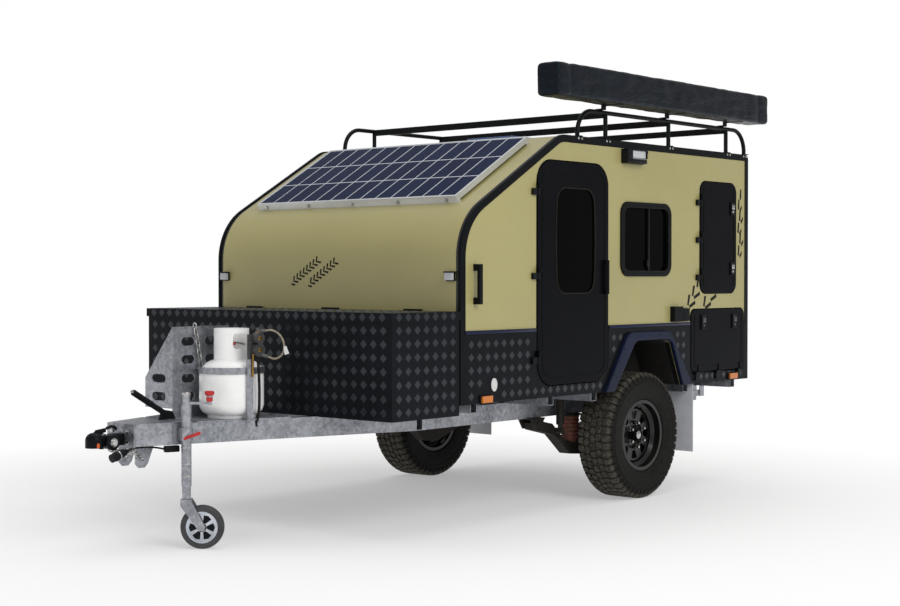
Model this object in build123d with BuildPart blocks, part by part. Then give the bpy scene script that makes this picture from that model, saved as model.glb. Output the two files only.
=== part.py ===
from build123d import *
import os
from math import atan2, cos, radians, sin, sqrt, tan

os.makedirs("parts", exist_ok=True)

# Off-road camping trailer: a box cabin with a sloped front on a galvanised A-frame chassis.
# Millimetres. X points to the kerb side with the larger door, Y to the rear, Z up.
# The origin is the centre of the tow ball. Heights are above the ground, and
# distances aft are behind the cabin's front wall.
hitch_height = 500.0
drawbar_reach = 1560.0
running_gap = 5.5
seat_gap = 0.3

# Cabin shell
cabin_half_width = 912.0
cabin_length = 2807.0
cabin_bottom = 641.0
cabin_roof = 2052.0
panel = 32.0
slope_angle = 30.0
slope_rise = 479.0
slope_foot_height = cabin_roof - slope_rise
front_bend_radius = 330.0
top_bend_radius = 150.0
rear_corner_radius = 30.0
front_panel_end = 930.0

# Black edge mouldings and lower cladding
moulding_side_band = 34.0
moulding_face_band = 17.0
moulding_proud = 6.0
cladding_thickness = 3.0
belt_height = 1000.0
side_height = cabin_roof - belt_height
belt_trim_height = 14.0
belt_trim_proud = 6.0

# Entry doors: rounded leaf with a barrel-shaped window
door_front = 623.0
door_rear = 1275.0
door_sill = 64.0
door_head = 140.0
door_bottom = cabin_bottom + door_sill
door_top = cabin_roof - door_head
door_corner = 120.0
door_glass_front = 784.0
door_glass_rear = 1144.0
door_glass_sill = 196.0
door_glass_head = 142.0
door_glass_bottom = belt_height + door_glass_sill
door_glass_top = door_top - door_glass_head
door_glass_bow = 14.0
door_glass_corner = 70.0
door_handle_rise = 285.0
door_handle_height = belt_height + door_handle_rise
door_handle_length = 190.0
pane_thickness = 6.0

# Side windows: sill and head as shares of the side above the belt
window_front = 1396.0
window_rear = 1917.0
window_sill_share = 0.2747
window_head_share = 0.6806
window_bottom = belt_height + window_sill_share * side_height
window_top = belt_height + window_head_share * side_height
window_corner = 70.0
window_frame_width = 30.0
window_frame_proud = 10.0
window_rebate = 12.0

# Service hatches of the kerb side: the tall pantry and the drop-down kitchen
kitchen_front = 2140.0
kitchen_rear = 2764.0
kitchen_sill = 66.0
kitchen_above_belt = 88.0
kitchen_bottom = cabin_bottom + kitchen_sill
kitchen_top = belt_height + kitchen_above_belt
pantry_front = 2244.0
pantry_rear = 2666.0
hatch_spacing = 99.0
pantry_head = 185.0
pantry_bottom = kitchen_top + hatch_spacing
pantry_top = cabin_roof - pantry_head
pantry_corner = 60.0
kitchen_corner = 40.0
leaf_proud = 6.0

# Hinges outside the skin
hinge_radius = 7.0
hinge_pin_radius = 3.0
hinge_length = 70.0
hinge_stand = 16.0

# Wheels and suspension
tyre_radius = 366.5
tyre_width = 235.0
tread_width = 196.0
track_outer = 919.0
axle_aft = 1647.0
arch_top = 920.0
arch_front_foot = 1316.0
arch_front_shoulder = 1527.0
arch_rear_shoulder = 1900.0
arch_rear_foot = 2026.0
arch_corner = 70.0
flare_front_foot = 1232.0
flare_front_shoulder = 1457.0
flare_rear_shoulder = 1887.0
flare_rear_foot = 2128.0
flare_top = 969.0
flare_proud = 22.0
wheel_box_inner = 650.0
wheel_box_wall = 12.0

# Chassis
rail_width = 50.0
rail_height = 100.0
rail_wall = 4.0
rail_bottom = 490.0
chassis_rail_x = 550.0
chassis_rail_rear = 2750.0
bearer_width = 50.0
head_front = -1400.0
head_half_width = 100.0
drawbar_rear = 40.0


def up(height):
    return height - hitch_height


def aft(distance):
    return drawbar_reach + distance


def save(piece, label):
    piece.part.label = label
    export_step(piece.part, f"parts/{label}.step")


def cabin_profile(grow=0.0):
    """The cabin's side outline, in aft and height, grown outwards by an amount."""
    slope_rise = tan(radians(slope_angle))
    top_corner = (cabin_roof - slope_foot_height) / slope_rise
    with BuildSketch() as outline:
        with BuildLine():
            Polyline(
                (aft(0), up(cabin_bottom)),
                (aft(0), up(slope_foot_height)),
                (aft(top_corner), up(cabin_roof)),
                (aft(cabin_length), up(cabin_roof)),
                (aft(cabin_length), up(cabin_bottom)),
                close=True,
            )
        make_face()
        corners = outline.vertices().sort_by(Axis.Y)
        low_front_corner = corners[2]
        fillet(low_front_corner, front_bend_radius)
        roof_corners = outline.vertices().group_by(Axis.Y)[-1].sort_by(Axis.X)
        fillet(roof_corners[0], top_bend_radius)
        roof_corners = outline.vertices().group_by(Axis.Y)[-1].sort_by(Axis.X)
        fillet(roof_corners[-1], rear_corner_radius)
        if grow:
            offset(amount=grow, kind=Kind.INTERSECTION)
    return outline.sketch


def rounded_opening(front, rear, bottom, top, corner, grow=0.0):
    """A rounded rectangle given by its four sides, grown outwards by an amount."""
    with BuildSketch() as opening:
        with Locations((aft((front + rear) / 2), up((bottom + top) / 2))):
            RectangleRounded(rear - front + 2 * grow, top - bottom + 2 * grow, corner + grow)
    return opening.sketch


def barrel_opening(grow=0.0):
    """The door window: straight top and bottom, sides that bow outwards."""
    front = aft(door_glass_front) - grow
    rear = aft(door_glass_rear) + grow
    bottom = up(door_glass_bottom) - grow
    top = up(door_glass_top) + grow
    middle = (bottom + top) / 2
    inset = door_glass_bow
    with BuildSketch() as opening:
        with BuildLine():
            Line((front + inset, bottom), (rear - inset, bottom))
            ThreePointArc((rear - inset, bottom), (rear, middle), (rear - inset, top))
            Line((rear - inset, top), (front + inset, top))
            ThreePointArc((front + inset, top), (front, middle), (front + inset, bottom))
        make_face()
        fillet(opening.vertices(), door_glass_corner + grow)
    return opening.sketch


def arch_profile(points, top, corner, grow=0.0):
    """A wheel arch: two feet at the sill and two shoulders, with rounded shoulders."""
    front_foot, front_shoulder, rear_shoulder, rear_foot = points
    with BuildSketch() as arch:
        with BuildLine():
            Polyline(
                (aft(front_foot), up(cabin_bottom)),
                (aft(front_shoulder), up(top)),
                (aft(rear_shoulder), up(top)),
                (aft(rear_foot), up(cabin_bottom)),
                close=True,
            )
        make_face()
        fillet(arch.vertices().group_by(Axis.Y)[-1], corner)
        if grow:
            offset(amount=grow, kind=Kind.INTERSECTION)
    return arch.sketch


arch_points = (arch_front_foot, arch_front_shoulder, arch_rear_shoulder, arch_rear_foot)
flare_points = (flare_front_foot, flare_front_shoulder, flare_rear_shoulder, flare_rear_foot)

# Outlines that several pieces share
arch_opening = arch_profile(arch_points, arch_top, arch_corner)
arch_box_outer = arch_profile(arch_points, arch_top, arch_corner, grow=wheel_box_wall)
flare_outline = arch_profile(flare_points, flare_top, arch_corner)
door_leaf = rounded_opening(door_front, door_rear, door_bottom, door_top, door_corner)
door_opening = rounded_opening(
    door_front, door_rear, door_bottom, door_top, door_corner, grow=running_gap
)
window_outer = rounded_opening(window_front, window_rear, window_bottom, window_top, window_corner)
window_hole = rounded_opening(
    window_front, window_rear, window_bottom, window_top, window_corner, grow=-window_rebate
)
window_sight = rounded_opening(
    window_front, window_rear, window_bottom, window_top, window_corner, grow=-window_frame_width
)
pantry_leaf = rounded_opening(pantry_front, pantry_rear, pantry_bottom, pantry_top, pantry_corner)
pantry_opening = rounded_opening(
    pantry_front, pantry_rear, pantry_bottom, pantry_top, pantry_corner, grow=running_gap
)
kitchen_leaf = rounded_opening(
    kitchen_front, kitchen_rear, kitchen_bottom, kitchen_top, kitchen_corner
)
kitchen_opening = rounded_opening(
    kitchen_front, kitchen_rear, kitchen_bottom, kitchen_top, kitchen_corner, grow=running_gap
)

wall_inner_x = cabin_half_width - panel
skin_x = cabin_half_width + cladding_thickness

# Side walls, with the openings cut through the whole panel
with BuildPart() as side_wall_left:
    with BuildSketch(Plane.YZ.offset(wall_inner_x)):
        add(cabin_profile())
        for opening in (door_opening, window_hole, pantry_opening, kitchen_opening):
            add(opening, mode=Mode.SUBTRACT)
        add(arch_opening, mode=Mode.SUBTRACT)
    extrude(amount=panel)
save(side_wall_left, "side_wall_left")

with BuildPart() as side_wall_right:
    with BuildSketch(Plane.YZ.offset(-cabin_half_width)):
        add(cabin_profile())
        for opening in (door_opening, window_hole, arch_opening):
            add(opening, mode=Mode.SUBTRACT)
    extrude(amount=panel)
save(side_wall_right, "side_wall_right")

# Front, roof and rear panels lie between the side walls, and butt at square joints
roof_hatch_aft = 1511.0
roof_hatch_size = 412.0
roof_hatch_hole = 350.0
roof_hatch_frame_width = 448.0
shell_half_width = wall_inner_x - seat_gap

with BuildPart() as front_panel:
    with BuildSketch(Plane.YZ.offset(-shell_half_width)):
        add(cabin_profile())
        add(cabin_profile(grow=-panel), mode=Mode.SUBTRACT)
        with Locations((aft(front_panel_end), up(cabin_bottom) - panel)):
            Rectangle(cabin_length, cabin_roof, align=(Align.MIN, Align.MIN), mode=Mode.SUBTRACT)
        with Locations((aft(0) + panel, up(cabin_bottom) - 1)):
            Rectangle(
                cabin_length, panel + 2, align=(Align.MIN, Align.MIN), mode=Mode.SUBTRACT
            )
    extrude(amount=2 * shell_half_width)
save(front_panel, "front_panel")

with BuildPart() as rear_panel:
    with BuildSketch(Plane.YZ.offset(-shell_half_width)):
        add(cabin_profile())
        with Locations((aft(cabin_length - panel), up(cabin_bottom) - 1)):
            Rectangle(cabin_length, 2 * cabin_roof, align=(Align.MAX, Align.MIN), mode=Mode.SUBTRACT)
    extrude(amount=2 * shell_half_width)
save(rear_panel, "rear_panel")

roof_length = cabin_length - panel - front_panel_end
with BuildPart() as roof_panel:
    with BuildSketch(Plane.XY.offset(up(cabin_roof - panel))):
        with Locations((0, aft(front_panel_end + roof_length / 2))):
            Rectangle(2 * shell_half_width, roof_length)
        with Locations((0, aft(roof_hatch_aft))):
            RectangleRounded(roof_hatch_hole, roof_hatch_hole, 30, mode=Mode.SUBTRACT)
    extrude(amount=panel)
save(roof_panel, "roof_panel")

# Floor panel, cut away over the wheel boxes
floor_length = cabin_length - 2 * panel
with BuildPart() as floor_panel:
    with BuildSketch(Plane.XY.offset(up(cabin_bottom))):
        with Locations((0, aft(panel + floor_length / 2))):
            Rectangle(2 * shell_half_width, floor_length)
    extrude(amount=panel)
    for side_start in (wheel_box_inner - wheel_box_wall, -cabin_half_width):
        with BuildSketch(Plane.YZ.offset(side_start)):
            add(arch_box_outer)
        extrude(amount=cabin_half_width - wheel_box_inner + wheel_box_wall, mode=Mode.SUBTRACT)
save(floor_panel, "floor_panel")

# Wheel boxes: a tunnel over each wheel, closed on the cabin's side
box_depth = wall_inner_x - wheel_box_inner
with BuildPart() as wheel_boxes:
    with BuildSketch(Plane.YZ.offset(wheel_box_inner)):
        add(arch_box_outer)
        add(arch_opening, mode=Mode.SUBTRACT)
        with Locations((aft(axle_aft), up(cabin_bottom))):
            Rectangle(
                cabin_length, panel, align=(Align.CENTER, Align.MAX), mode=Mode.SUBTRACT
            )
    extrude(amount=box_depth - seat_gap)
    with BuildSketch(Plane.YZ.offset(wheel_box_inner)):
        add(arch_box_outer)
        with Locations((aft(axle_aft), up(cabin_bottom))):
            Rectangle(
                cabin_length, panel, align=(Align.CENTER, Align.MAX), mode=Mode.SUBTRACT
            )
    extrude(amount=-wheel_box_wall + seat_gap)
    mirror(about=Plane.YZ)
save(wheel_boxes, "wheel_boxes")

# Wheel arch flares: a flat lip round each arch, standing proud of the cladding
with BuildPart() as wheel_flares:
    with BuildSketch(Plane.YZ.offset(skin_x)):
        add(flare_outline)
        add(arch_opening, mode=Mode.SUBTRACT)
    extrude(amount=flare_proud)
    fillet(
        wheel_flares.faces().sort_by(Axis.X)[-1].edges().filter_by(GeomType.LINE).filter_by(
            lambda edge: edge.center().Z > up(cabin_bottom) + 1
        ),
        6,
    )
    mirror(about=Plane.YZ)
save(wheel_flares, "wheel_flares")

# Lower cladding: black chequer sheet under the belt line, cut round doors, hatch and arch
with BuildPart() as lower_cladding:
    # columns: where the sheet starts in X, where the belt trim starts, the openings
    for sheet_start, trim_start, openings in (
        (cabin_half_width, cabin_half_width, (door_opening, arch_opening, kitchen_opening)),
        (-skin_x, -cabin_half_width - belt_trim_proud, (door_opening, arch_opening)),
    ):
        with BuildSketch(Plane.YZ.offset(sheet_start)):
            with Locations((aft(moulding_side_band), up(cabin_bottom))):
                Rectangle(
                    cabin_length - 2 * moulding_side_band,
                    belt_height - cabin_bottom,
                    align=(Align.MIN, Align.MIN),
                )
            for opening in openings:
                add(opening, mode=Mode.SUBTRACT)
        extrude(amount=cladding_thickness)
        with BuildSketch(Plane.YZ.offset(trim_start)):
            with Locations((aft(moulding_side_band), up(belt_height - belt_trim_height / 2))):
                Rectangle(
                    cabin_length - 2 * moulding_side_band,
                    1.5 * belt_trim_height,
                    align=(Align.MIN, Align.MIN),
                )
            for opening in openings:
                add(opening, mode=Mode.SUBTRACT)
        extrude(amount=belt_trim_proud)
save(lower_cladding, "lower_cladding")

# Edge mouldings: an angle section that follows the cabin's outline on each side
with BuildPart() as edge_mouldings:
    with BuildSketch(Plane.YZ.offset(cabin_half_width)):
        add(cabin_profile(grow=moulding_proud))
        add(cabin_profile(grow=-moulding_side_band), mode=Mode.SUBTRACT)
        with Locations((aft(moulding_side_band), up(cabin_bottom) - panel)):
            Rectangle(
                cabin_length - 2 * moulding_side_band,
                panel + 2 * moulding_side_band,
                align=(Align.MIN, Align.MIN),
                mode=Mode.SUBTRACT,
            )
        with Locations((aft(-moulding_side_band), up(cabin_bottom))):
            Rectangle(
                cabin_length + 2 * moulding_side_band,
                panel,
                align=(Align.MIN, Align.MAX),
                mode=Mode.SUBTRACT,
            )
    extrude(amount=cladding_thickness)
    with BuildSketch(Plane.YZ.offset(skin_x - moulding_face_band)):
        add(cabin_profile(grow=moulding_proud))
        add(cabin_profile(), mode=Mode.SUBTRACT)
        with Locations((aft(-moulding_side_band), up(cabin_bottom))):
            Rectangle(
                cabin_length + 2 * moulding_side_band,
                panel,
                align=(Align.MIN, Align.MAX),
                mode=Mode.SUBTRACT,
            )
    extrude(amount=moulding_face_band)
    mirror(about=Plane.YZ)
save(edge_mouldings, "edge_mouldings")

# Side windows: a sleeve in the wall with a flange outside, and a fixed pane
with BuildPart() as window_frames:
    with BuildSketch(Plane.YZ.offset(wall_inner_x)):
        add(rounded_opening(
            window_front, window_rear, window_bottom, window_top, window_corner,
            grow=-window_rebate - seat_gap,
        ))
        add(window_sight, mode=Mode.SUBTRACT)
    extrude(amount=panel)
    with BuildSketch(Plane.YZ.offset(cabin_half_width)):
        add(window_outer)
        add(window_sight, mode=Mode.SUBTRACT)
    extrude(amount=window_frame_proud)
    outer_face = window_frames.faces().sort_by(Axis.X)[-1]
    fillet(outer_face.outer_wire().edges(), 3)
    mirror(about=Plane.YZ)
save(window_frames, "window_frames")

pane_x = wall_inner_x + panel / 2
with BuildPart() as window_glass:
    with BuildSketch(Plane.YZ.offset(pane_x)):
        add(rounded_opening(
            window_front, window_rear, window_bottom, window_top, window_corner,
            grow=-window_frame_width - seat_gap,
        ))
    extrude(amount=pane_thickness)
    mirror(about=Plane.YZ)
save(window_glass, "window_glass")

# Entry doors: full-thickness leaves with hinge knuckles outside the front edge
hinge_x = cabin_half_width + hinge_stand
door_hinge_aft = door_front - running_gap / 2
low_hinge_share = 0.5254
top_hinge_drop = 156.0
door_hinge_heights = (
    door_bottom + low_hinge_share * (belt_height - door_bottom),
    (door_bottom + door_top) / 2,
    door_top - top_hinge_drop,
)
pantry_hinge_aft = pantry_front - running_gap / 2
pantry_hinge_heights = [
    pantry_bottom + share * (pantry_top - pantry_bottom) for share in (1 / 6, 1 / 2, 5 / 6)
]
kitchen_hinge_height = kitchen_bottom - running_gap / 2
kitchen_hinge_afts = (2215.0, 2450.0, 2702.0)
leaf_outer_x = cabin_half_width + leaf_proud
knuckle_gap = 1.0
strap_thickness = 5.0
strap_length = 46.0

with BuildPart() as entry_door_left:
    with BuildSketch(Plane.YZ.offset(wall_inner_x)):
        add(door_leaf)
        add(barrel_opening(), mode=Mode.SUBTRACT)
    extrude(amount=panel + leaf_proud)
    rim_face = entry_door_left.faces().sort_by(Axis.X)[-1]
    fillet(rim_face.outer_wire().edges(), 4)
    with BuildSketch(Plane.XY.offset(up(door_handle_height - door_handle_length / 2))):
        with Locations((leaf_outer_x, aft(door_rear - 36))):
            RectangleRounded(50, 30, 9)
    extrude(amount=door_handle_length)
    with BuildSketch(Plane.XZ.offset(-aft(door_rear - 36))):
        with Locations((leaf_outer_x + 6, up(door_handle_height))):
            RectangleRounded(16, door_handle_length - 44, 6)
    extrude(amount=20, both=True, mode=Mode.SUBTRACT)
    with Locations(*[
        (hinge_x, aft(door_hinge_aft), up(height) + hinge_length / 4) for height in door_hinge_heights
    ]):
        Cylinder(hinge_radius, hinge_length / 2 - knuckle_gap)
    for height in door_hinge_heights:
        with BuildSketch(Plane.YZ.offset(leaf_outer_x)):
            with Locations((aft(door_hinge_aft), up(height) + hinge_length / 4)):
                Rectangle(
                    strap_length, hinge_length / 2 - knuckle_gap, align=(Align.MIN, Align.CENTER)
                )
        extrude(amount=strap_thickness)
    with Locations(*[
        (hinge_x, aft(door_hinge_aft), up(height) + hinge_length / 4) for height in door_hinge_heights
    ]):
        Cylinder(hinge_pin_radius, hinge_length, mode=Mode.SUBTRACT)
save(entry_door_left, "entry_door_left")

with BuildPart() as entry_door_right:
    add(entry_door_left.part.mirror(Plane.YZ))
save(entry_door_right, "entry_door_right")

# Door panes sit in the middle of the leaf's thickness
with BuildPart() as door_glass_left:
    with BuildSketch(Plane.YZ.offset(wall_inner_x + panel - pane_thickness)):
        add(barrel_opening(grow=-seat_gap))
    extrude(amount=pane_thickness)
save(door_glass_left, "door_glass_left")

with BuildPart() as door_glass_right:
    add(door_glass_left.part.mirror(Plane.YZ))
save(door_glass_right, "door_glass_right")

# Tall pantry hatch, hinged at its front edge, with two paddle latches
pantry_latch_heights = [
    pantry_bottom + share * (pantry_top - pantry_bottom) for share in (0.769, 0.222)
]
latch_aft = 2612.0
with BuildPart() as pantry_hatch:
    with BuildSketch(Plane.YZ.offset(wall_inner_x)):
        add(pantry_leaf)
    extrude(amount=panel + leaf_proud)
    rim_face = pantry_hatch.faces().sort_by(Axis.X)[-1]
    fillet(rim_face.outer_wire().edges(), 4)
    with BuildSketch(Plane.YZ.offset(leaf_outer_x)):
        with Locations(*[(aft(latch_aft), up(height)) for height in pantry_latch_heights]):
            RectangleRounded(54, 84, 8)
    extrude(amount=5)
    with Locations(*[
        (hinge_x, aft(pantry_hinge_aft), up(height) + hinge_length / 4)
        for height in pantry_hinge_heights
    ]):
        Cylinder(hinge_radius, hinge_length / 2 - knuckle_gap)
    with BuildSketch(Plane.YZ.offset(leaf_outer_x)):
        with Locations(*[
            (aft(pantry_hinge_aft), up(height) + hinge_length / 4) for height in pantry_hinge_heights
        ]):
            Rectangle(strap_length, hinge_length / 2 - knuckle_gap, align=(Align.MIN, Align.CENTER))
    extrude(amount=strap_thickness)
    with Locations(*[
        (hinge_x, aft(pantry_hinge_aft), up(height) + hinge_length / 4)
        for height in pantry_hinge_heights
    ]):
        Cylinder(hinge_pin_radius, hinge_length, mode=Mode.SUBTRACT)
save(pantry_hatch, "pantry_hatch")

# Kitchen hatch, hinged along its bottom edge, drops down to make a table
kitchen_latch_afts = (2275.0, 2638.0)
kitchen_latch_drop = 78.0
kitchen_latch_height = kitchen_top - kitchen_latch_drop
with BuildPart() as kitchen_hatch:
    with BuildSketch(Plane.YZ.offset(wall_inner_x)):
        add(kitchen_leaf)
    extrude(amount=panel + leaf_proud)
    rim_face = kitchen_hatch.faces().sort_by(Axis.X)[-1]
    fillet(rim_face.outer_wire().edges(), 4)
    with BuildSketch(Plane.YZ.offset(leaf_outer_x)):
        with Locations(*[(aft(distance), up(kitchen_latch_height)) for distance in kitchen_latch_afts]):
            RectangleRounded(62, 95, 8)
    extrude(amount=5)
    with Locations(*[
        (hinge_x, aft(distance) + hinge_length / 4, up(kitchen_hinge_height))
        for distance in kitchen_hinge_afts
    ]):
        Cylinder(hinge_radius, hinge_length / 2 - knuckle_gap, rotation=(90, 0, 0))
    with BuildSketch(Plane.YZ.offset(leaf_outer_x)):
        with Locations(*[
            (aft(distance) + hinge_length / 4, up(kitchen_hinge_height))
            for distance in kitchen_hinge_afts
        ]):
            Rectangle(hinge_length / 2 - knuckle_gap, strap_length, align=(Align.CENTER, Align.MIN))
    extrude(amount=strap_thickness)
    with Locations(*[
        (hinge_x, aft(distance) + hinge_length / 4, up(kitchen_hinge_height))
        for distance in kitchen_hinge_afts
    ]):
        Cylinder(hinge_pin_radius, hinge_length, rotation=(90, 0, 0), mode=Mode.SUBTRACT)
save(kitchen_hatch, "kitchen_hatch")

# Fixed halves of the hinges, with the pins that the leaves turn on
pin_clearance = 0.1
with BuildPart() as hinge_posts:
    # columns: aft, height, whether the hinge is on the kerb side only
    upright_hinges = [(door_hinge_aft, height, False) for height in door_hinge_heights]
    upright_hinges += [(pantry_hinge_aft, height, True) for height in pantry_hinge_heights]
    for distance, height, kerb_only in upright_hinges:
        for side in ((1,) if kerb_only else (1, -1)):
            low = up(height) - hinge_length / 2
            base_x = skin_x if height < belt_height else cabin_half_width
            with BuildSketch(Plane.XY.offset(low)):
                with Locations((side * hinge_x, aft(distance))):
                    Circle(hinge_radius)
                with Locations((side * base_x, aft(distance))):
                    Rectangle(
                        hinge_x - base_x,
                        strap_length,
                        align=(Align.MIN if side > 0 else Align.MAX, Align.MAX),
                    )
            extrude(amount=hinge_length / 2)
            with BuildSketch(Plane.XY.offset(low)):
                with Locations((side * hinge_x, aft(distance))):
                    Circle(hinge_pin_radius - pin_clearance)
            extrude(amount=hinge_length)
    for distance in kitchen_hinge_afts:
        start = aft(distance) - hinge_length / 2
        with BuildSketch(Plane.XZ.offset(-start)):
            with Locations((hinge_x, up(kitchen_hinge_height))):
                Circle(hinge_radius)
            with Locations((skin_x, up(kitchen_hinge_height))):
                Rectangle(hinge_x - skin_x, strap_length, align=(Align.MIN, Align.MAX))
        extrude(amount=-hinge_length / 2)
        with BuildSketch(Plane.XZ.offset(-start)):
            with Locations((hinge_x, up(kitchen_hinge_height))):
                Circle(hinge_pin_radius - pin_clearance)
        extrude(amount=-hinge_length)
save(hinge_posts, "hinge_posts")

# Roof hatch: an upstand frame round the hole, and a domed lid hinged at the front
hatch_frame_height = 24.0
hatch_lid_lift = 30.0
hatch_dome_height = 44.0
hatch_hinge_aft = roof_hatch_aft - roof_hatch_frame_width / 2 - hinge_radius
hatch_hinge_height = cabin_roof + hatch_lid_lift + 4.0
with BuildPart() as roof_hatch_frame:
    with BuildSketch(Plane.XY.offset(up(cabin_roof))):
        with Locations((0, aft(roof_hatch_aft))):
            RectangleRounded(roof_hatch_frame_width, roof_hatch_frame_width, 30)
            RectangleRounded(roof_hatch_hole, roof_hatch_hole, 30, mode=Mode.SUBTRACT)
    extrude(amount=hatch_frame_height)
    with BuildSketch(Plane.YZ.offset(-60)):
        with Locations((aft(hatch_hinge_aft), up(hatch_hinge_height))):
            Circle(hinge_radius)
        with Locations((aft(hatch_hinge_aft), up(cabin_roof))):
            Rectangle(2 * hinge_radius, hatch_lid_lift + 4, align=(Align.CENTER, Align.MIN))
    extrude(amount=120)
    with BuildSketch(Plane.YZ.offset(-60)):
        with Locations((aft(hatch_hinge_aft), up(hatch_hinge_height))):
            Circle(hinge_pin_radius)
    extrude(amount=120, mode=Mode.SUBTRACT)
    with BuildSketch(Plane.XY.offset(up(cabin_roof))):
        with Locations((0, aft(hatch_hinge_aft))):
            Rectangle(84, 4 * hinge_radius)
    extrude(amount=3 * hatch_lid_lift, mode=Mode.SUBTRACT)
    with BuildSketch(Plane.XY.offset(up(cabin_roof))):
        with Locations((0, aft(roof_hatch_aft))):
            RectangleRounded(roof_hatch_frame_width, roof_hatch_frame_width, 30)
            RectangleRounded(roof_hatch_hole, roof_hatch_hole, 30, mode=Mode.SUBTRACT)
    extrude(amount=hatch_frame_height)
save(roof_hatch_frame, "roof_hatch_frame")

with BuildPart() as roof_hatch_lid:
    with BuildSketch(Plane.XY.offset(up(cabin_roof + hatch_lid_lift))):
        with Locations((0, aft(roof_hatch_aft))):
            RectangleRounded(roof_hatch_size, roof_hatch_size, 40)
    extrude(amount=hatch_dome_height, taper=38)
    with BuildSketch(Plane.YZ.offset(-40)):
        with Locations((aft(hatch_hinge_aft), up(hatch_hinge_height))):
            Circle(hinge_radius)
            Rectangle(40, 6, align=(Align.MIN, Align.CENTER))
    extrude(amount=80)
    with BuildSketch(Plane.YZ.offset(-75)):
        with Locations((aft(hatch_hinge_aft), up(hatch_hinge_height))):
            Circle(hinge_pin_radius - pin_clearance)
    extrude(amount=150)
save(roof_hatch_lid, "roof_hatch_lid")

# Solar panel on the slope: a framed laminate on four feet
solar_width = 1504.0
solar_length = 690.0
solar_start = 192.0
solar_stand = 11.0
solar_depth = 30.0
solar_frame_width = 12.0
slope_plane = Plane(
    origin=(0, aft(0), up(slope_foot_height)),
    x_dir=(1, 0, 0),
    z_dir=(0, -sin(radians(slope_angle)), cos(radians(slope_angle))),
)
solar_middle = solar_start + solar_length / 2
with BuildPart() as solar_frame:
    with BuildSketch(slope_plane.offset(solar_stand)):
        with Locations((0, solar_middle)):
            Rectangle(solar_width, solar_length)
            Rectangle(
                solar_width - 2 * solar_frame_width,
                solar_length - 2 * solar_frame_width,
                mode=Mode.SUBTRACT,
            )
    extrude(amount=solar_depth)
    with BuildSketch(slope_plane):
        with Locations((0, solar_start)):
            Rectangle(solar_width, 26, align=(Align.CENTER, Align.MIN))
        with Locations((0, solar_start + solar_length)):
            Rectangle(solar_width, 26, align=(Align.CENTER, Align.MAX))
    extrude(amount=solar_stand)
save(solar_frame, "solar_frame")

with BuildPart() as solar_cells:
    with BuildSketch(slope_plane.offset(solar_stand + solar_depth - 8)):
        with Locations((0, solar_middle)):
            Rectangle(
                solar_width - 2 * solar_frame_width - 2 * seat_gap,
                solar_length - 2 * solar_frame_width - 2 * seat_gap,
            )
    extrude(amount=6)
save(solar_cells, "solar_cells")

# Roof rack: bent side tubes, posts under them, flat cross bars between them
rack_x = 893.0
rack_tube_radius = 12.5
rack_rise = 155.0
rack_height = cabin_roof + rack_rise
rack_front = 1010.0
rack_rear = 2794.0
rack_bend = 130.0
rack_foot_height = cabin_roof + moulding_proud
rack_post_afts = (1277.0, 1922.0, 2575.0)
rack_bar_depth = 38.0
rack_bar_width = 20.0
rack_bar_drop = 9.0
rack_foot_size = 44.0
rack_foot_thickness = 5.0
foot_top = rack_foot_height + rack_foot_thickness

with BuildPart() as rack_rails:
    for side in (1, -1):
        rail_plane = Plane.YZ.offset(side * rack_x)
        with BuildLine(rail_plane) as rail_path:
            FilletPolyline(
                (aft(rack_front), up(foot_top)),
                (aft(rack_front), up(rack_height)),
                (aft(rack_rear), up(rack_height)),
                (aft(rack_rear), up(foot_top)),
                radius=rack_bend,
            )
        with BuildSketch(Plane(
            origin=(side * rack_x, aft(rack_front), up(foot_top)), z_dir=(0, 0, 1)
        )):
            Circle(rack_tube_radius)
        sweep(path=rail_path.line)
save(rack_rails, "rack_rails")

with BuildPart() as rack_posts:
    for distance in rack_post_afts:
        with BuildSketch(Plane.XY.offset(up(foot_top))):
            with Locations((rack_x, aft(distance)), (-rack_x, aft(distance))):
                Circle(rack_tube_radius)
        extrude(amount=rack_height - rack_tube_radius - foot_top)
    with BuildSketch(Plane.XY.offset(up(rack_foot_height))):
        for distance in (rack_front,) + rack_post_afts + (rack_rear,):
            with Locations((rack_x, aft(distance)), (-rack_x, aft(distance))):
                Rectangle(rack_foot_size, rack_foot_size)
    extrude(amount=rack_foot_thickness)
save(rack_posts, "rack_posts")

with BuildPart() as rack_bars:
    with BuildSketch(Plane.YZ.offset(-rack_x + rack_tube_radius + seat_gap)):
        for distance in rack_post_afts:
            with Locations((aft(distance), up(rack_height - rack_bar_drop))):
                RectangleRounded(rack_bar_width, rack_bar_depth, 4)
    extrude(amount=2 * (rack_x - rack_tube_radius - seat_gap))
save(rack_bars, "rack_bars")

# Awning bag along the kerb side, on three brackets from the rack
bag_front = 620.0
bag_rear = 2822.0
bag_inner_x = 911.0
bag_width = 139.0
bag_rise = 39.0
bag_bottom = rack_height + bag_rise
bag_height = 173.0
bracket_width = 40.0
bracket_offset = 50.0
bracket_plate = 6.0
with BuildPart() as awning_bag:
    with BuildSketch(Plane.XZ.offset(-aft(bag_front))):
        with Locations((bag_inner_x + bag_width / 2, up(bag_bottom + bag_height / 2))):
            RectangleRounded(bag_width, bag_height, 24)
    extrude(amount=-(bag_rear - bag_front))
save(awning_bag, "awning_bag")

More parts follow.
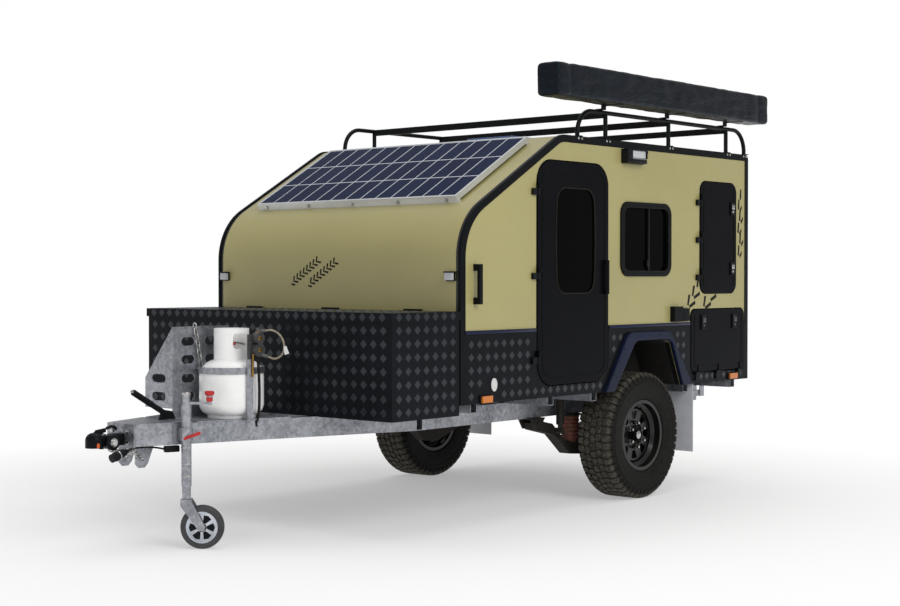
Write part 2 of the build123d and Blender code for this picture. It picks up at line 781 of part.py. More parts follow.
with BuildPart() as awning_brackets:
    arm_top = bag_bottom - seat_gap
    tube_top = rack_height + rack_tube_radius + seat_gap
    for distance in rack_post_afts:
        with BuildSketch(Plane.XZ.offset(-aft(distance - bracket_offset) + bracket_width / 2)):
            with BuildLine():
                Polyline(
                    (rack_x - 20, up(tube_top)),
                    (rack_x + 26, up(tube_top)),
                    (rack_x + 26, up(arm_top - bracket_plate)),
                    (bag_inner_x + bag_width - 16, up(arm_top - bracket_plate)),
                    (bag_inner_x + bag_width - 16, up(arm_top)),
                    (rack_x + 26 - bracket_plate, up(arm_top)),
                    (rack_x + 26 - bracket_plate, up(tube_top + bracket_plate)),
                    (rack_x - 20, up(tube_top + bracket_plate)),
                    close=True,
                )
            make_face()
        extrude(amount=-bracket_width)
save(awning_brackets, "awning_brackets")

# Toolbox of chequer sheet across the front, with a lid hinged along its rear edge
toolbox_half_width = 915.0
toolbox_front = -511.0
toolbox_rear = -16.0
toolbox_wall = 3.0
lid_gap = 5.2
lid_top = 1114.0
toolbox_rim = lid_top - toolbox_wall - seat_gap
toolbox_bottom = rail_bottom + rail_height + seat_gap
lid_skirt = 44.0
lid_hinge_radius = 6.0
lid_hinge_centres = (-600.0, 0.0, 600.0)
lid_knuckle_half = 30.0
lid_hinge_half = 62.0
lid_hinge_flap = 50.0
toolbox_depth = toolbox_rear - toolbox_front
lid_hinge_aft = toolbox_rear + 2.0
lid_hinge_height = lid_top + 3.0
with BuildPart() as toolbox:
    with BuildSketch(Plane.XY.offset(up(toolbox_bottom))):
        with Locations((0, aft(toolbox_front))):
            Rectangle(2 * toolbox_half_width, toolbox_depth, align=(Align.CENTER, Align.MIN))
    extrude(amount=toolbox_rim - toolbox_bottom)
    offset(amount=-toolbox_wall, openings=toolbox.faces().sort_by(Axis.Z)[-1])
    for hinge_centre in lid_hinge_centres:
        for start in (-lid_hinge_half, lid_knuckle_half + knuckle_gap):
            with BuildSketch(Plane.YZ.offset(hinge_centre + start)):
                with Locations((aft(lid_hinge_aft), up(lid_hinge_height))):
                    Circle(lid_hinge_radius)
                with Locations((aft(toolbox_rear), up(lid_hinge_height))):
                    Rectangle(toolbox_wall, lid_hinge_flap, align=(Align.MIN, Align.MAX))
            extrude(amount=lid_hinge_half - lid_knuckle_half - knuckle_gap)
        with BuildSketch(Plane.YZ.offset(hinge_centre - lid_hinge_half)):
            with Locations((aft(lid_hinge_aft), up(lid_hinge_height))):
                Circle(hinge_pin_radius - pin_clearance)
        extrude(amount=2 * lid_hinge_half)
save(toolbox, "toolbox")

lid_outer_half = toolbox_half_width + lid_gap + toolbox_wall
lid_front = toolbox_front - lid_gap - toolbox_wall
with BuildPart() as toolbox_lid:
    with BuildSketch(Plane.XY.offset(up(lid_top - lid_skirt))):
        with Locations((0, aft(lid_front))):
            Rectangle(
                2 * lid_outer_half, toolbox_rear - lid_front, align=(Align.CENTER, Align.MIN)
            )
    extrude(amount=lid_skirt)
    with BuildSketch(Plane.XY.offset(up(lid_top - lid_skirt))):
        with Locations((0, aft(lid_front + toolbox_wall))):
            Rectangle(
                2 * (toolbox_half_width + lid_gap),
                toolbox_depth + 2 * lid_gap + toolbox_wall,
                align=(Align.CENTER, Align.MIN),
            )
    extrude(amount=lid_skirt - toolbox_wall, mode=Mode.SUBTRACT)
    for hinge_centre in lid_hinge_centres:
        with BuildSketch(Plane.XY.offset(up(lid_top - toolbox_wall) - 1)):
            with Locations((hinge_centre, aft(toolbox_rear - 10))):
                Rectangle(2 * (lid_hinge_half + knuckle_gap), 20, align=(Align.CENTER, Align.MIN))
                Rectangle(2 * lid_knuckle_half, 20, align=(Align.CENTER, Align.MIN), mode=Mode.SUBTRACT)
        extrude(amount=toolbox_wall + 2, mode=Mode.SUBTRACT)
        with BuildSketch(Plane.YZ.offset(hinge_centre - lid_knuckle_half)):
            with Locations((aft(lid_hinge_aft), up(lid_hinge_height))):
                Circle(lid_hinge_radius)
        extrude(amount=2 * lid_knuckle_half)
        with BuildSketch(Plane.YZ.offset(hinge_centre - lid_hinge_half)):
            with Locations((aft(lid_hinge_aft), up(lid_hinge_height))):
                Circle(hinge_pin_radius)
        extrude(amount=2 * lid_hinge_half, mode=Mode.SUBTRACT)
save(toolbox_lid, "toolbox_lid")

# Chassis: two rails in line with the suspension, bearers across them under the floor
chassis_front = drawbar_rear + rail_width
chassis_length = chassis_rail_rear - chassis_front
with BuildPart() as chassis_rails:
    for side in (1, -1):
        with BuildSketch(Plane.XZ.offset(-aft(chassis_front))):
            with Locations((side * chassis_rail_x, up(rail_bottom + rail_height / 2))):
                Rectangle(rail_width, rail_height)
                Rectangle(rail_width - 2 * rail_wall, rail_height - 2 * rail_wall, mode=Mode.SUBTRACT)
        extrude(amount=-chassis_length)
save(chassis_rails, "chassis_rails")

rail_top = rail_bottom + rail_height
bearer_height = cabin_bottom - rail_top
bearer_afts = (150.0, 800.0, 1200.0, 2150.0, 2700.0)
bearer_half_length = 870.0
bearer_wall = 3.0
tie_afts = (1055.0, 2475.0)
tie_drop = 20.0
short_bearer_half_length = wheel_box_inner - wheel_box_wall - 8
leg_x = 625.0
leg_pivot = (2690.0, 545.0)
leg_length = 496.0
leg_width = 46.0
leg_depth = 40.0
leg_wall = 4.0
leg_ear = 5.0
leg_ear_gap = 1.5
leg_ear_length = 48.0
leg_ear_rim = 22.0
leg_pin_radius = 7.0
with BuildPart() as cross_members:
    # columns: aft, half length
    for distance, half_length in (
        (bearer_afts[0], bearer_half_length),
        (bearer_afts[1], bearer_half_length),
        (bearer_afts[2], bearer_half_length),
        (bearer_afts[3], bearer_half_length),
        (bearer_afts[4], bearer_half_length),
        (axle_aft, short_bearer_half_length),
    ):
        with BuildSketch(Plane.YZ.offset(-half_length)):
            with Locations((aft(distance), up(rail_top) + bearer_height / 2)):
                Rectangle(bearer_width, bearer_height)
                Rectangle(
                    bearer_width - 2 * bearer_wall, bearer_height - 2 * bearer_wall, mode=Mode.SUBTRACT
                )
        extrude(amount=2 * half_length)
    # columns: front face aft, half length, height
    for distance, half_length, height in (
        (drawbar_rear, chassis_rail_x + rail_width / 2, rail_height),
        (tie_afts[0], chassis_rail_x - rail_width / 2, rail_height - tie_drop),
        (tie_afts[1], chassis_rail_x - rail_width / 2, rail_height - tie_drop),
    ):
        with BuildSketch(Plane.YZ.offset(-half_length)):
            with Locations((aft(distance) + rail_width / 2, up(rail_bottom) + height / 2)):
                Rectangle(rail_width, height)
                Rectangle(rail_width - 2 * rail_wall, height - 2 * rail_wall, mode=Mode.SUBTRACT)
        extrude(amount=2 * half_length)
    # ears and pins for the stabilisers
    pin_half = leg_width / 2 + leg_ear_gap + leg_ear
    for side in (1, -1):
        for ear_start in (-pin_half, pin_half - leg_ear):
            with BuildSketch(Plane.YZ.offset(side * leg_x + ear_start)):
                with Locations((aft(leg_pivot[0]), up(rail_top) - seat_gap)):
                    Rectangle(
                        leg_ear_length,
                        rail_top - seat_gap - leg_pivot[1] + leg_ear_rim,
                        align=(Align.CENTER, Align.MAX),
                    )
            extrude(amount=leg_ear)
        with BuildSketch(Plane.YZ.offset(side * leg_x - pin_half)):
            with Locations((aft(leg_pivot[0]), up(leg_pivot[1]))):
                Circle(leg_pin_radius)
        extrude(amount=2 * pin_half)
save(cross_members, "cross_members")

# A-frame drawbar: a pair of hollow rails that meet at the head
drawbar_angle = atan2(chassis_rail_x - head_half_width + rail_width / 2, drawbar_rear - head_front)
drawbar_direction = Vector(sin(drawbar_angle), cos(drawbar_angle), 0)
drawbar_outward = Vector(cos(drawbar_angle), -sin(drawbar_angle), 0)


def rail_outer_x(distance):
    """The outer face of the kerb-side drawbar rail at a distance aft."""
    return head_half_width + (distance - head_front) * tan(drawbar_angle)


rail_start = Vector(head_half_width, aft(head_front), up(rail_bottom + rail_height / 2))
rail_centre = rail_start - drawbar_outward * (rail_width / 2)
with BuildPart() as drawbar_rails:
    rail_plane = Plane(
        origin=rail_centre - drawbar_direction * 100,
        x_dir=drawbar_outward,
        z_dir=drawbar_direction,
    )
    with BuildSketch(rail_plane):
        Rectangle(rail_width, rail_height)
        Rectangle(rail_width - 2 * rail_wall, rail_height - 2 * rail_wall, mode=Mode.SUBTRACT)
    extrude(amount=1900)
    split(bisect_by=Plane.XZ.offset(-aft(head_front)), keep=Keep.BOTTOM)
    split(bisect_by=Plane.XZ.offset(-aft(drawbar_rear)), keep=Keep.TOP)
    mirror(about=Plane.YZ)
save(drawbar_rails, "drawbar_rails")

# Head of the drawbar: front plate, cover plate, and two foot plates with chain holes
head_plate = 10.0
head_cover_rear = -1130.0
foot_plate_bottom = 384.0
foot_plate_thickness = 8.0
chain_hole_radius = 8.0
chain_hole_height = 425.0
chain_hole_aft = -1330.0
foot_plate_x = 62.0
foot_plate_rear = -1262.0
foot_plate_nose = 28.0
foot_plate_length = 74.0
foot_plate_corner = 20.0
head_plate_rim = 12.0
head_plate_corner = 6.0
cover_thickness = 6.0
with BuildPart() as drawbar_head:
    with BuildSketch(Plane.XZ.offset(-aft(head_front))):
        with Locations((0, up(rail_bottom + rail_height / 2))):
            RectangleRounded(2 * head_half_width, rail_height + head_plate_rim, head_plate_corner)
    extrude(amount=head_plate)
    with BuildSketch(Plane.XY.offset(up(rail_top) + seat_gap)):
        with BuildLine():
            Polyline(
                (-head_half_width, aft(head_front)),
                (head_half_width, aft(head_front)),
                (rail_outer_x(head_cover_rear), aft(head_cover_rear)),
                (-rail_outer_x(head_cover_rear), aft(head_cover_rear)),
                close=True,
            )
        make_face()
    extrude(amount=cover_thickness - seat_gap)
    plate_front = aft(head_front) + foot_plate_nose
    plate_rear = plate_front + foot_plate_length
    plate_low = up(foot_plate_bottom)
    nose_low = up(rail_bottom) - head_plate_rim / 2
    for side in (1, -1):
        with BuildSketch(Plane.YZ.offset(side * foot_plate_x - foot_plate_thickness / 2)):
            with BuildLine():
                Polyline(
                    (aft(head_front), up(rail_bottom)),
                    (aft(head_front), nose_low),
                    (plate_front, nose_low),
                    (plate_front, plate_low + foot_plate_corner),
                    (plate_front + foot_plate_corner, plate_low),
                    (plate_rear - foot_plate_corner, plate_low),
                    (plate_rear, plate_low + foot_plate_corner),
                    (aft(foot_plate_rear), up(rail_bottom)),
                    close=True,
                )
            make_face()
            with Locations((aft(chain_hole_aft), up(chain_hole_height))):
                Circle(chain_hole_radius, mode=Mode.SUBTRACT)
        extrude(amount=foot_plate_thickness)
save(drawbar_head, "drawbar_head")

# Coupling: ball housing, neck, cross pivot and shank, with the socket open below
socket_radius = 25.2
housing_radius = 42.0
pivot_back = 74.0
pivot_height = 14.0
pivot_radius = 33.0
pivot_half_length = 45.0
coupling_rear = drawbar_reach + head_front - head_plate
with BuildPart() as coupling:
    with BuildSketch(Plane.YZ):
        with BuildLine():
            Line((0, -8), (housing_radius, -8))
            Line((housing_radius, -8), (housing_radius, 24))
            ThreePointArc((housing_radius, 24), (housing_radius * 0.74, 52), (0, 62))
            Line((0, 62), (0, -8))
        make_face()
    revolve(axis=Axis.Z)
    with BuildSketch(Plane.XZ.offset(-20)):
        with Locations((0, 22)):
            RectangleRounded(64, 56, 12)
    extrude(amount=20 - coupling_rear)
    with BuildSketch(Plane.YZ.offset(-pivot_half_length)):
        with Locations((pivot_back, pivot_height)):
            Circle(pivot_radius)
    extrude(amount=2 * pivot_half_length)
    with BuildSketch(Plane.YZ.offset(-pivot_half_length - 10)):
        with Locations((pivot_back, pivot_height)):
            RegularPolygon(17, 6)
    extrude(amount=2 * pivot_half_length + 20)
    with BuildSketch(Plane.YZ.offset(-5)):
        with BuildLine():
            Polyline((-20, 44), (10, 74), (64, 80), (64, 62), (20, 50), close=True)
        make_face()
    extrude(amount=10)
    Sphere(socket_radius, mode=Mode.SUBTRACT)
    with Locations((0, 0, 0)):
        Cylinder(
            socket_radius, 20, align=(Align.CENTER, Align.CENTER, Align.MAX), mode=Mode.SUBTRACT
        )
save(coupling, "coupling")

# Handbrake: a lever with a grip, on a quadrant plate over the head
brake_x = 0.0
brake_pivot_aft = -1120.0
brake_pivot_height = 612.0
brake_grip_end = (-1334.0, 738.0)


def side_point(point):
    return (aft(point[0]), up(point[1]))


lever_base = (brake_pivot_aft, brake_pivot_height)
lever_angle = atan2(brake_grip_end[1] - lever_base[1], lever_base[0] - brake_grip_end[0])
with BuildPart() as handbrake_lever:
    with BuildSketch(Plane.YZ.offset(brake_x - 6)):
        with BuildLine():
            Polyline(
                (aft(brake_pivot_aft - 60), up(rail_top) + 6 + seat_gap),
                (aft(brake_pivot_aft + 40), up(rail_top) + 6 + seat_gap),
                (aft(brake_pivot_aft + 20), up(brake_pivot_height + 22)),
                (aft(brake_pivot_aft - 40), up(brake_pivot_height + 34)),
                close=True,
            )
        make_face()
    extrude(amount=12)
    lever_direction = Vector(0, -cos(lever_angle), sin(lever_angle))
    lever_start = Vector(brake_x, *side_point(lever_base))
    lever_length = (Vector(brake_x, *side_point(brake_grip_end)) - lever_start).length
    grip_length = 128.0
    lever_plane = Plane(origin=lever_start, x_dir=(1, 0, 0), z_dir=lever_direction)
    with BuildSketch(lever_plane):
        RectangleRounded(16, 26, 5)
    extrude(amount=lever_length - grip_length)
    with BuildSketch(lever_plane.offset(lever_length - grip_length)):
        Circle(15)
    extrude(amount=grip_length)
    with BuildSketch(lever_plane.offset(lever_length)):
        Circle(7)
    extrude(amount=10)
save(handbrake_lever, "handbrake_lever")

# Jockey wheel: swing clamp on the rail, outer tube, sliding inner tube, fork and wheel
jockey_aft = -1195.0
jockey_x = 222.0
jockey_turn = 40.7
jockey_pivot_height = 543.0
outer_tube_radius = 24.0
outer_tube_wall = 3.0
inner_tube_radius = outer_tube_radius - outer_tube_wall - seat_gap
outer_tube_bottom = 296.0
outer_tube_top = 671.0
jockey_cap_top = 737.0
crank_height = 690.0
crank_reach = 110.0
fork_crown_top = 236.0
fork_crown_bottom = 216.0
castor_trail = 75.5
jockey_wheel_radius = 103.5
jockey_wheel_width = 46.0
jockey_retract = 50.0
jockey_centre = Vector(jockey_x, aft(jockey_aft), 0)
roll_direction = Vector(cos(radians(jockey_turn)), sin(radians(jockey_turn)), 0)
axle_direction = Vector(-sin(radians(jockey_turn)), cos(radians(jockey_turn)), 0)
clamp_standoff = (jockey_centre - Vector(rail_start.X, rail_start.Y, 0)).dot(drawbar_outward)
clamp_height = 90.0
collar_radius = 31.0
collar_height = 60.0
clamp_plate = 8.0
pivot_barrel_radius = 20.0
clamp_plane = Plane(
    origin=Vector(rail_start.X, rail_start.Y, up(jockey_pivot_height))
    + drawbar_direction * (jockey_centre - Vector(rail_start.X, rail_start.Y, 0)).dot(drawbar_direction),
    x_dir=drawbar_direction,
    z_dir=drawbar_outward,
)
with BuildPart() as jockey_clamp:
    with BuildSketch(clamp_plane):
        RectangleRounded(96, clamp_height, 8)
    extrude(amount=clamp_plate)
    with BuildSketch(clamp_plane.offset(clamp_plate)):
        Circle(pivot_barrel_radius)
    extrude(amount=8)
save(jockey_clamp, "jockey_clamp")

collar_plane_height = up(jockey_pivot_height - collar_height / 2)
collar_back = clamp_standoff - clamp_plate - 8
with BuildPart() as jockey_tube:
    with BuildSketch(Plane.XY.offset(up(outer_tube_bottom))):
        with Locations((jockey_x, aft(jockey_aft))):
            Circle(outer_tube_radius)
            Circle(outer_tube_radius - outer_tube_wall, mode=Mode.SUBTRACT)
    extrude(amount=outer_tube_top - outer_tube_bottom)
    with BuildSketch(Plane.XY.offset(collar_plane_height)):
        with Locations((jockey_x, aft(jockey_aft))):
            Circle(collar_radius)
            Circle(outer_tube_radius - outer_tube_wall, mode=Mode.SUBTRACT)
    extrude(amount=collar_height)
    with BuildSketch(clamp_plane.offset(clamp_plate + 8 + seat_gap)):
        RectangleRounded(54, collar_height, 6)
    extrude(amount=collar_back - collar_radius + 8)
    for bottom, top, radius in (
        (outer_tube_top, outer_tube_top + 10, outer_tube_radius),
        (outer_tube_top + 10, jockey_cap_top, outer_tube_radius - 6),
    ):
        with BuildSketch(Plane.XY.offset(up(bottom))):
            with Locations((jockey_x, aft(jockey_aft))):
                Circle(radius)
        extrude(amount=top - bottom)
    crank_start = Vector(jockey_x, aft(jockey_aft), up(crank_height))
    knob = crank_start + roll_direction * crank_reach
    with BuildSketch(Plane(origin=crank_start, z_dir=roll_direction)):
        Rectangle(12, 12)
    extrude(amount=crank_reach)
    with BuildSketch(Plane(origin=knob, x_dir=roll_direction, z_dir=-axle_direction)):
        with BuildLine():
            Polyline((0, -8), (10, -8), (10, 12), (14, 14), (15, 40), (12, 54), (0, 56), close=True)
        make_face()
    revolve(axis=Axis(knob, (0, 0, 1)))
save(jockey_tube, "jockey_tube")

inner_tube_top = outer_tube_top - 12 - jockey_retract
with BuildPart() as jockey_inner_tube:
    with BuildSketch(Plane.XY.offset(up(fork_crown_top) + seat_gap)):
        with Locations((jockey_x, aft(jockey_aft))):
            Circle(inner_tube_radius)
    extrude(amount=inner_tube_top - fork_crown_top)
save(jockey_inner_tube, "jockey_inner_tube")

# The fork trails the wheel behind the tube, along the wheel's rolling direction
fork_inner_half = jockey_wheel_width / 2 + 6
fork_arm = 5.0
fork_plane = Plane(
    origin=Vector(jockey_x, aft(jockey_aft), up(0)), x_dir=roll_direction, z_dir=-axle_direction
)
with BuildPart() as jockey_fork:
    for start in (fork_inner_half, -fork_inner_half - fork_arm):
        with BuildSketch(fork_plane.offset(start)):
            with BuildLine():
                Polyline(
                    (-24, fork_crown_top),
                    (24, fork_crown_top),
                    (castor_trail + 18, jockey_wheel_radius + 4),
                    (castor_trail + 12, jockey_wheel_radius - 16),
                    (castor_trail - 12, jockey_wheel_radius - 16),
                    (-24, fork_crown_bottom - 10),
                    close=True,
                )
            make_face()
            with Locations((castor_trail, jockey_wheel_radius)):
                Circle(8, mode=Mode.SUBTRACT)
        extrude(amount=fork_arm)
    with BuildSketch(fork_plane.offset(-fork_inner_half)):
        with Locations((0, fork_crown_top)):
            Rectangle(48, 10, align=(Align.CENTER, Align.MAX))
    extrude(amount=2 * fork_inner_half)
    with BuildSketch(fork_plane.offset(-fork_inner_half - fork_arm)):
        with Locations((castor_trail, jockey_wheel_radius)):
            Circle(8)
    extrude(amount=2 * (fork_inner_half + fork_arm))
save(jockey_fork, "jockey_fork")

with BuildPart() as jockey_wheel:
    with BuildSketch(fork_plane.offset(-jockey_wheel_width / 2)):
        with Locations((castor_trail, jockey_wheel_radius)):
            Circle(jockey_wheel_radius)
            Circle(8.1, mode=Mode.SUBTRACT)
    extrude(amount=jockey_wheel_width)
    rim_edges = jockey_wheel.edges().filter_by(GeomType.CIRCLE).sort_by(SortBy.RADIUS)[-2:]
    fillet(rim_edges, 14)
    for face_offset, direction in ((jockey_wheel_width / 2, -1), (-jockey_wheel_width / 2, 1)):
        with BuildSketch(fork_plane.offset(face_offset)):
            with Locations((castor_trail, jockey_wheel_radius)):
                Circle(66)
                Circle(22, mode=Mode.SUBTRACT)
        extrude(amount=direction * 12, mode=Mode.SUBTRACT)
save(jockey_wheel, "jockey_wheel")

# Gas bottle carrier: a tray across the rails and a folded divider with slots
tray_front = -1105.0
tray_rear = -640.0
tray_thickness = 6.0
tray_top = rail_top + tray_thickness
divider_x = -40.0
divider_thickness = 4.0
divider_front = -1062.0
divider_rear = -700.0
divider_top = 1042.0
wing_width = 212.0
wing_bottom = 640.0
wing_shoulder = 786.0
divider_slot_afts = (-963.0, -812.0)
slot_heights = (697.0, 786.0, 879.0, 968.0)
slot_length = 83.0
slot_width = 42.0
wing_slot_length = 104.0
bottle_x = 130.0
bottle_aft = -830.0
bottle_radius = 159.0
bottle_wall = 3.0
band_height = 830.0
band_width = 32.0
band_thickness = 3.0
post_angle = -10.2
post_width = 34.0
post_thickness = 12.0
post_rise = 40.0
post_top = band_height + band_width / 2 + post_rise
post_offset = bottle_radius + band_thickness + 2 * seat_gap + post_thickness / 2
bottle_centre = Vector(bottle_x, aft(bottle_aft), 0)
post_direction = Vector(cos(radians(post_angle)), sin(radians(post_angle)), 0)
post_centre = bottle_centre + post_direction * post_offset
with BuildPart() as gas_carrier:
    with BuildSketch(Plane.XY.offset(up(rail_top) + seat_gap)):
        with BuildLine():
            Polyline(
                (-rail_outer_x(tray_front), aft(tray_front)),
                (rail_outer_x(tray_front), aft(tray_front)),
                (rail_outer_x(tray_rear), aft(tray_rear)),
                (-rail_outer_x(tray_rear), aft(tray_rear)),
                close=True,
            )
        make_face()
        with Locations((post_centre.X - 10, post_centre.Y)):
            Rectangle(50, 60)
    extrude(amount=tray_thickness - seat_gap)
    with BuildSketch(Plane.YZ.offset(divider_x - divider_thickness)):
        with Locations((aft(divider_front), up(tray_top))):
            Rectangle(
                divider_rear - divider_front,
                divider_top - tray_top,
                align=(Align.MIN, Align.MIN),
            )
        with Locations(*[
            (aft(distance), up(height)) for distance in divider_slot_afts for height in slot_heights
        ]):
            SlotOverall(slot_length, slot_width, mode=Mode.SUBTRACT)
    extrude(amount=divider_thickness)
    with BuildSketch(Plane.XZ.offset(-aft(divider_front))):
        with BuildLine():
            Polyline(
                (divider_x, up(wing_bottom)),
                (divider_x, up(divider_top)),
                (divider_x - wing_width, up(wing_shoulder)),
                (divider_x - wing_width, up(wing_bottom)),
                close=True,
            )
        make_face()
        with Locations(*[
            (divider_x - wing_width / 2, up(height)) for height in slot_heights[:2]
        ]):
            SlotOverall(wing_slot_length, slot_width, mode=Mode.SUBTRACT)
    extrude(amount=-divider_thickness)
save(gas_carrier, "gas_carrier")

# Gas bottle: foot ring, drawn shell, and an open collar round the valve
bottle_bottom = tray_top + seat_gap
shoulder_start = 800.0
shoulder_top = 868.0
collar_bottom = 872.0
collar_top = 1034.0
collar_outer = 87.0
collar_wall = 4.0
foot_radius = 118.0
with BuildPart() as gas_bottle:
    bottle_plane = Plane(origin=(bottle_x, aft(bottle_aft), 0), x_dir=(1, 0, 0), z_dir=(0, -1, 0))
    with BuildSketch(bottle_plane):
        with BuildLine():
            Polyline(
                (0, up(bottle_bottom + 14)),
                (foot_radius - 8, up(bottle_bottom + 14)),
                (foot_radius - 8, up(bottle_bottom)),
                (foot_radius, up(bottle_bottom)),
                (foot_radius + 2, up(bottle_bottom + 14)),
            )
            ThreePointArc(
                (foot_radius + 2, up(bottle_bottom + 14)),
                (bottle_radius - 9, up(bottle_bottom + 36)),
                (bottle_radius, up(bottle_bottom + 70)),
            )
            Line((bottle_radius, up(bottle_bottom + 70)), (bottle_radius, up(shoulder_start)))
            ThreePointArc(
                (bottle_radius, up(shoulder_start)),
                (bottle_radius - 26, up(shoulder_top - 12)),
                (collar_outer - 10, up(shoulder_top + 12)),
            )
            Polyline(
                (collar_outer - 10, up(shoulder_top + 12)),
                (26, up(shoulder_top + 22)),
                (24, up(shoulder_top + 46)),
                (0, up(shoulder_top + 46)),
                (0, up(bottle_bottom + 14)),
            )
        make_face()
    revolve(axis=Axis((bottle_x, aft(bottle_aft), 0), (0, 0, 1)))
    with BuildSketch(bottle_plane):
        with BuildLine():
            inner_bottom = up(bottle_bottom + 14 + bottle_wall)
            inner_top = up(shoulder_top + 22 - bottle_wall)
            Polyline((0, inner_bottom), (foot_radius - bottle_wall, inner_bottom))
            ThreePointArc(
                (foot_radius - bottle_wall, inner_bottom),
                (bottle_radius - 9 - bottle_wall, up(bottle_bottom + 38)),
                (bottle_radius - bottle_wall, up(bottle_bottom + 70)),
            )
            Line(
                (bottle_radius - bottle_wall, up(bottle_bottom + 70)),
                (bottle_radius - bottle_wall, up(shoulder_start)),
            )
            ThreePointArc(
                (bottle_radius - bottle_wall, up(shoulder_start)),
                (bottle_radius - 26 - bottle_wall, up(shoulder_top - 14)),
                (collar_outer - 10 - bottle_wall, up(shoulder_top + 12 - bottle_wall)),
            )
            Polyline(
                (collar_outer - 10 - bottle_wall, up(shoulder_top + 12 - bottle_wall)),
                (24, inner_top),
                (0, inner_top),
                (0, inner_bottom),
            )
        make_face()
    revolve(axis=Axis((bottle_x, aft(bottle_aft), 0), (0, 0, 1)), mode=Mode.SUBTRACT)
    with BuildSketch(Plane.XY.offset(up(collar_bottom))):
        with Locations((bottle_x, aft(bottle_aft))):
            Circle(collar_outer)
            Circle(collar_outer - collar_wall, mode=Mode.SUBTRACT)
    extrude(amount=collar_top - collar_bottom)
    with BuildSketch(Plane(
        origin=(bottle_x, aft(bottle_aft), up(collar_top - 62)), x_dir=(0, 1, 0), z_dir=(1, 0, 0)
    )):
        RectangleRounded(104, 76, 16)
    extrude(amount=collar_outer + 2, mode=Mode.SUBTRACT)
    with BuildSketch(Plane.XY.offset(up(shoulder_top + 40))):
        with Locations((bottle_x, aft(bottle_aft))):
            Circle(15)
    extrude(amount=64)
    with BuildSketch(Plane.XY.offset(up(shoulder_top + 104))):
        with Locations((bottle_x, aft(bottle_aft))):
            Circle(26)
    extrude(amount=14)
save(gas_bottle, "gas_bottle")

with BuildPart() as bottle_band:
    with BuildSketch(Plane.XY.offset(up(band_height - band_width / 2))):
        with Locations((bottle_x, aft(bottle_aft))):
            Circle(bottle_radius + seat_gap + band_thickness)
            Circle(bottle_radius + seat_gap, mode=Mode.SUBTRACT)
    extrude(amount=band_width)
    with BuildSketch(Plane(
        origin=(bottle_x, aft(bottle_aft), up(band_height)), x_dir=(0, 1, 0), z_dir=(-1, 0, 0)
    ).offset(bottle_radius + seat_gap)):
        Rectangle(30, band_width)
    extrude(amount=bottle_x - bottle_radius - divider_x - 2 * seat_gap)
    with BuildSketch(Plane(origin=(post_centre.X, post_centre.Y, up(tray_top) + seat_gap),
                           x_dir=post_direction, z_dir=(0, 0, 1))):
        Rectangle(post_thickness, post_width)
    extrude(amount=post_top - tray_top - seat_gap)
save(bottle_band, "bottle_band")

# Hose that loops from the regulators' elbow back into the lower one, held at both ends
regulator_plate = 4.0
regulator_depth = 34.0
regulator_x = post_centre.X + regulator_plate + regulator_depth / 2
regulator_aft = bottle_aft + 6
hose_radius = 5.0
elbow_height = 1040.0


def loop_point(along, height):
    """A point of the hose's loop: a distance along the rolling direction, and a height."""
    return Vector(regulator_x, aft(regulator_aft), up(height)) + roll_direction * along


# columns: along the rolling direction, drop below the elbow
hose_table = (
    (36, 14), (66, 12), (98, 28), (120, 59), (127, 100), (112, 136), (80, 151), (48, 141),
)
hose_points = [loop_point(along, elbow_height - drop) for along, drop in hose_table]
hose_runs = [(end - start).length for start, end in zip(hose_points, hose_points[1:])]
hose_turns = [
    (middle - start).get_angle(end - middle)
    for start, middle, end in zip(hose_points, hose_points[1:], hose_points[2:])
]
hose_radii = [
    0.45 * min(before, after) / tan(radians(turn) / 2)
    for before, after, turn in zip(hose_runs, hose_runs[1:], hose_turns)
]
print("hose bend radii", [round(radius, 1) for radius in hose_radii])
with BuildLine() as hose_path:
    FilletPolyline(*hose_points, radius=hose_radii)
hose_start = Plane(origin=hose_path.line @ 0, z_dir=-(hose_path.line % 0))
hose_end = Plane(origin=hose_path.line @ 1, z_dir=hose_path.line % 1)
with BuildPart() as gas_hose:
    with BuildSketch(Plane(origin=hose_path.line @ 0, z_dir=hose_path.line % 0)):
        Circle(hose_radius)
    sweep(path=hose_path.line)
save(gas_hose, "gas_hose")

# Regulators on the post: two round bodies, an elbow on top, and the hose's end fittings
# columns: height, radius
regulator_table = ((931.0, 32.0), (989.0, 29.0))
regulator_plate_top = 1008.0
regulator_stem_radius = 11.0
fitting_radius = 8.5
fitting_length = 32.0
with BuildPart() as gas_regulator:
    with BuildSketch(Plane.YZ.offset(regulator_x - regulator_depth / 2)):
        for height, radius in regulator_table:
            with Locations((aft(regulator_aft), up(height))):
                Circle(radius)
    extrude(amount=regulator_depth)
    with BuildSketch(Plane.YZ.offset(regulator_x - regulator_depth / 2 - regulator_plate)):
        with Locations((post_centre.Y - post_width / 2, up(post_top) + seat_gap)):
            Rectangle(
                aft(regulator_aft) + 12 - post_centre.Y + post_width / 2,
                regulator_plate_top - post_top,
                align=(Align.MIN, Align.MIN),
            )
    extrude(amount=regulator_plate)
    with BuildSketch(Plane.XY.offset(up(regulator_table[0][0]))):
        with Locations((regulator_x, aft(regulator_aft))):
            Circle(regulator_stem_radius)
    extrude(amount=elbow_height - regulator_table[0][0])
    for hose_plane in (hose_start, hose_end):
        with BuildSketch(hose_plane.offset(seat_gap)):
            Circle(fitting_radius)
        extrude(amount=fitting_length)
save(gas_regulator, "gas_regulator")

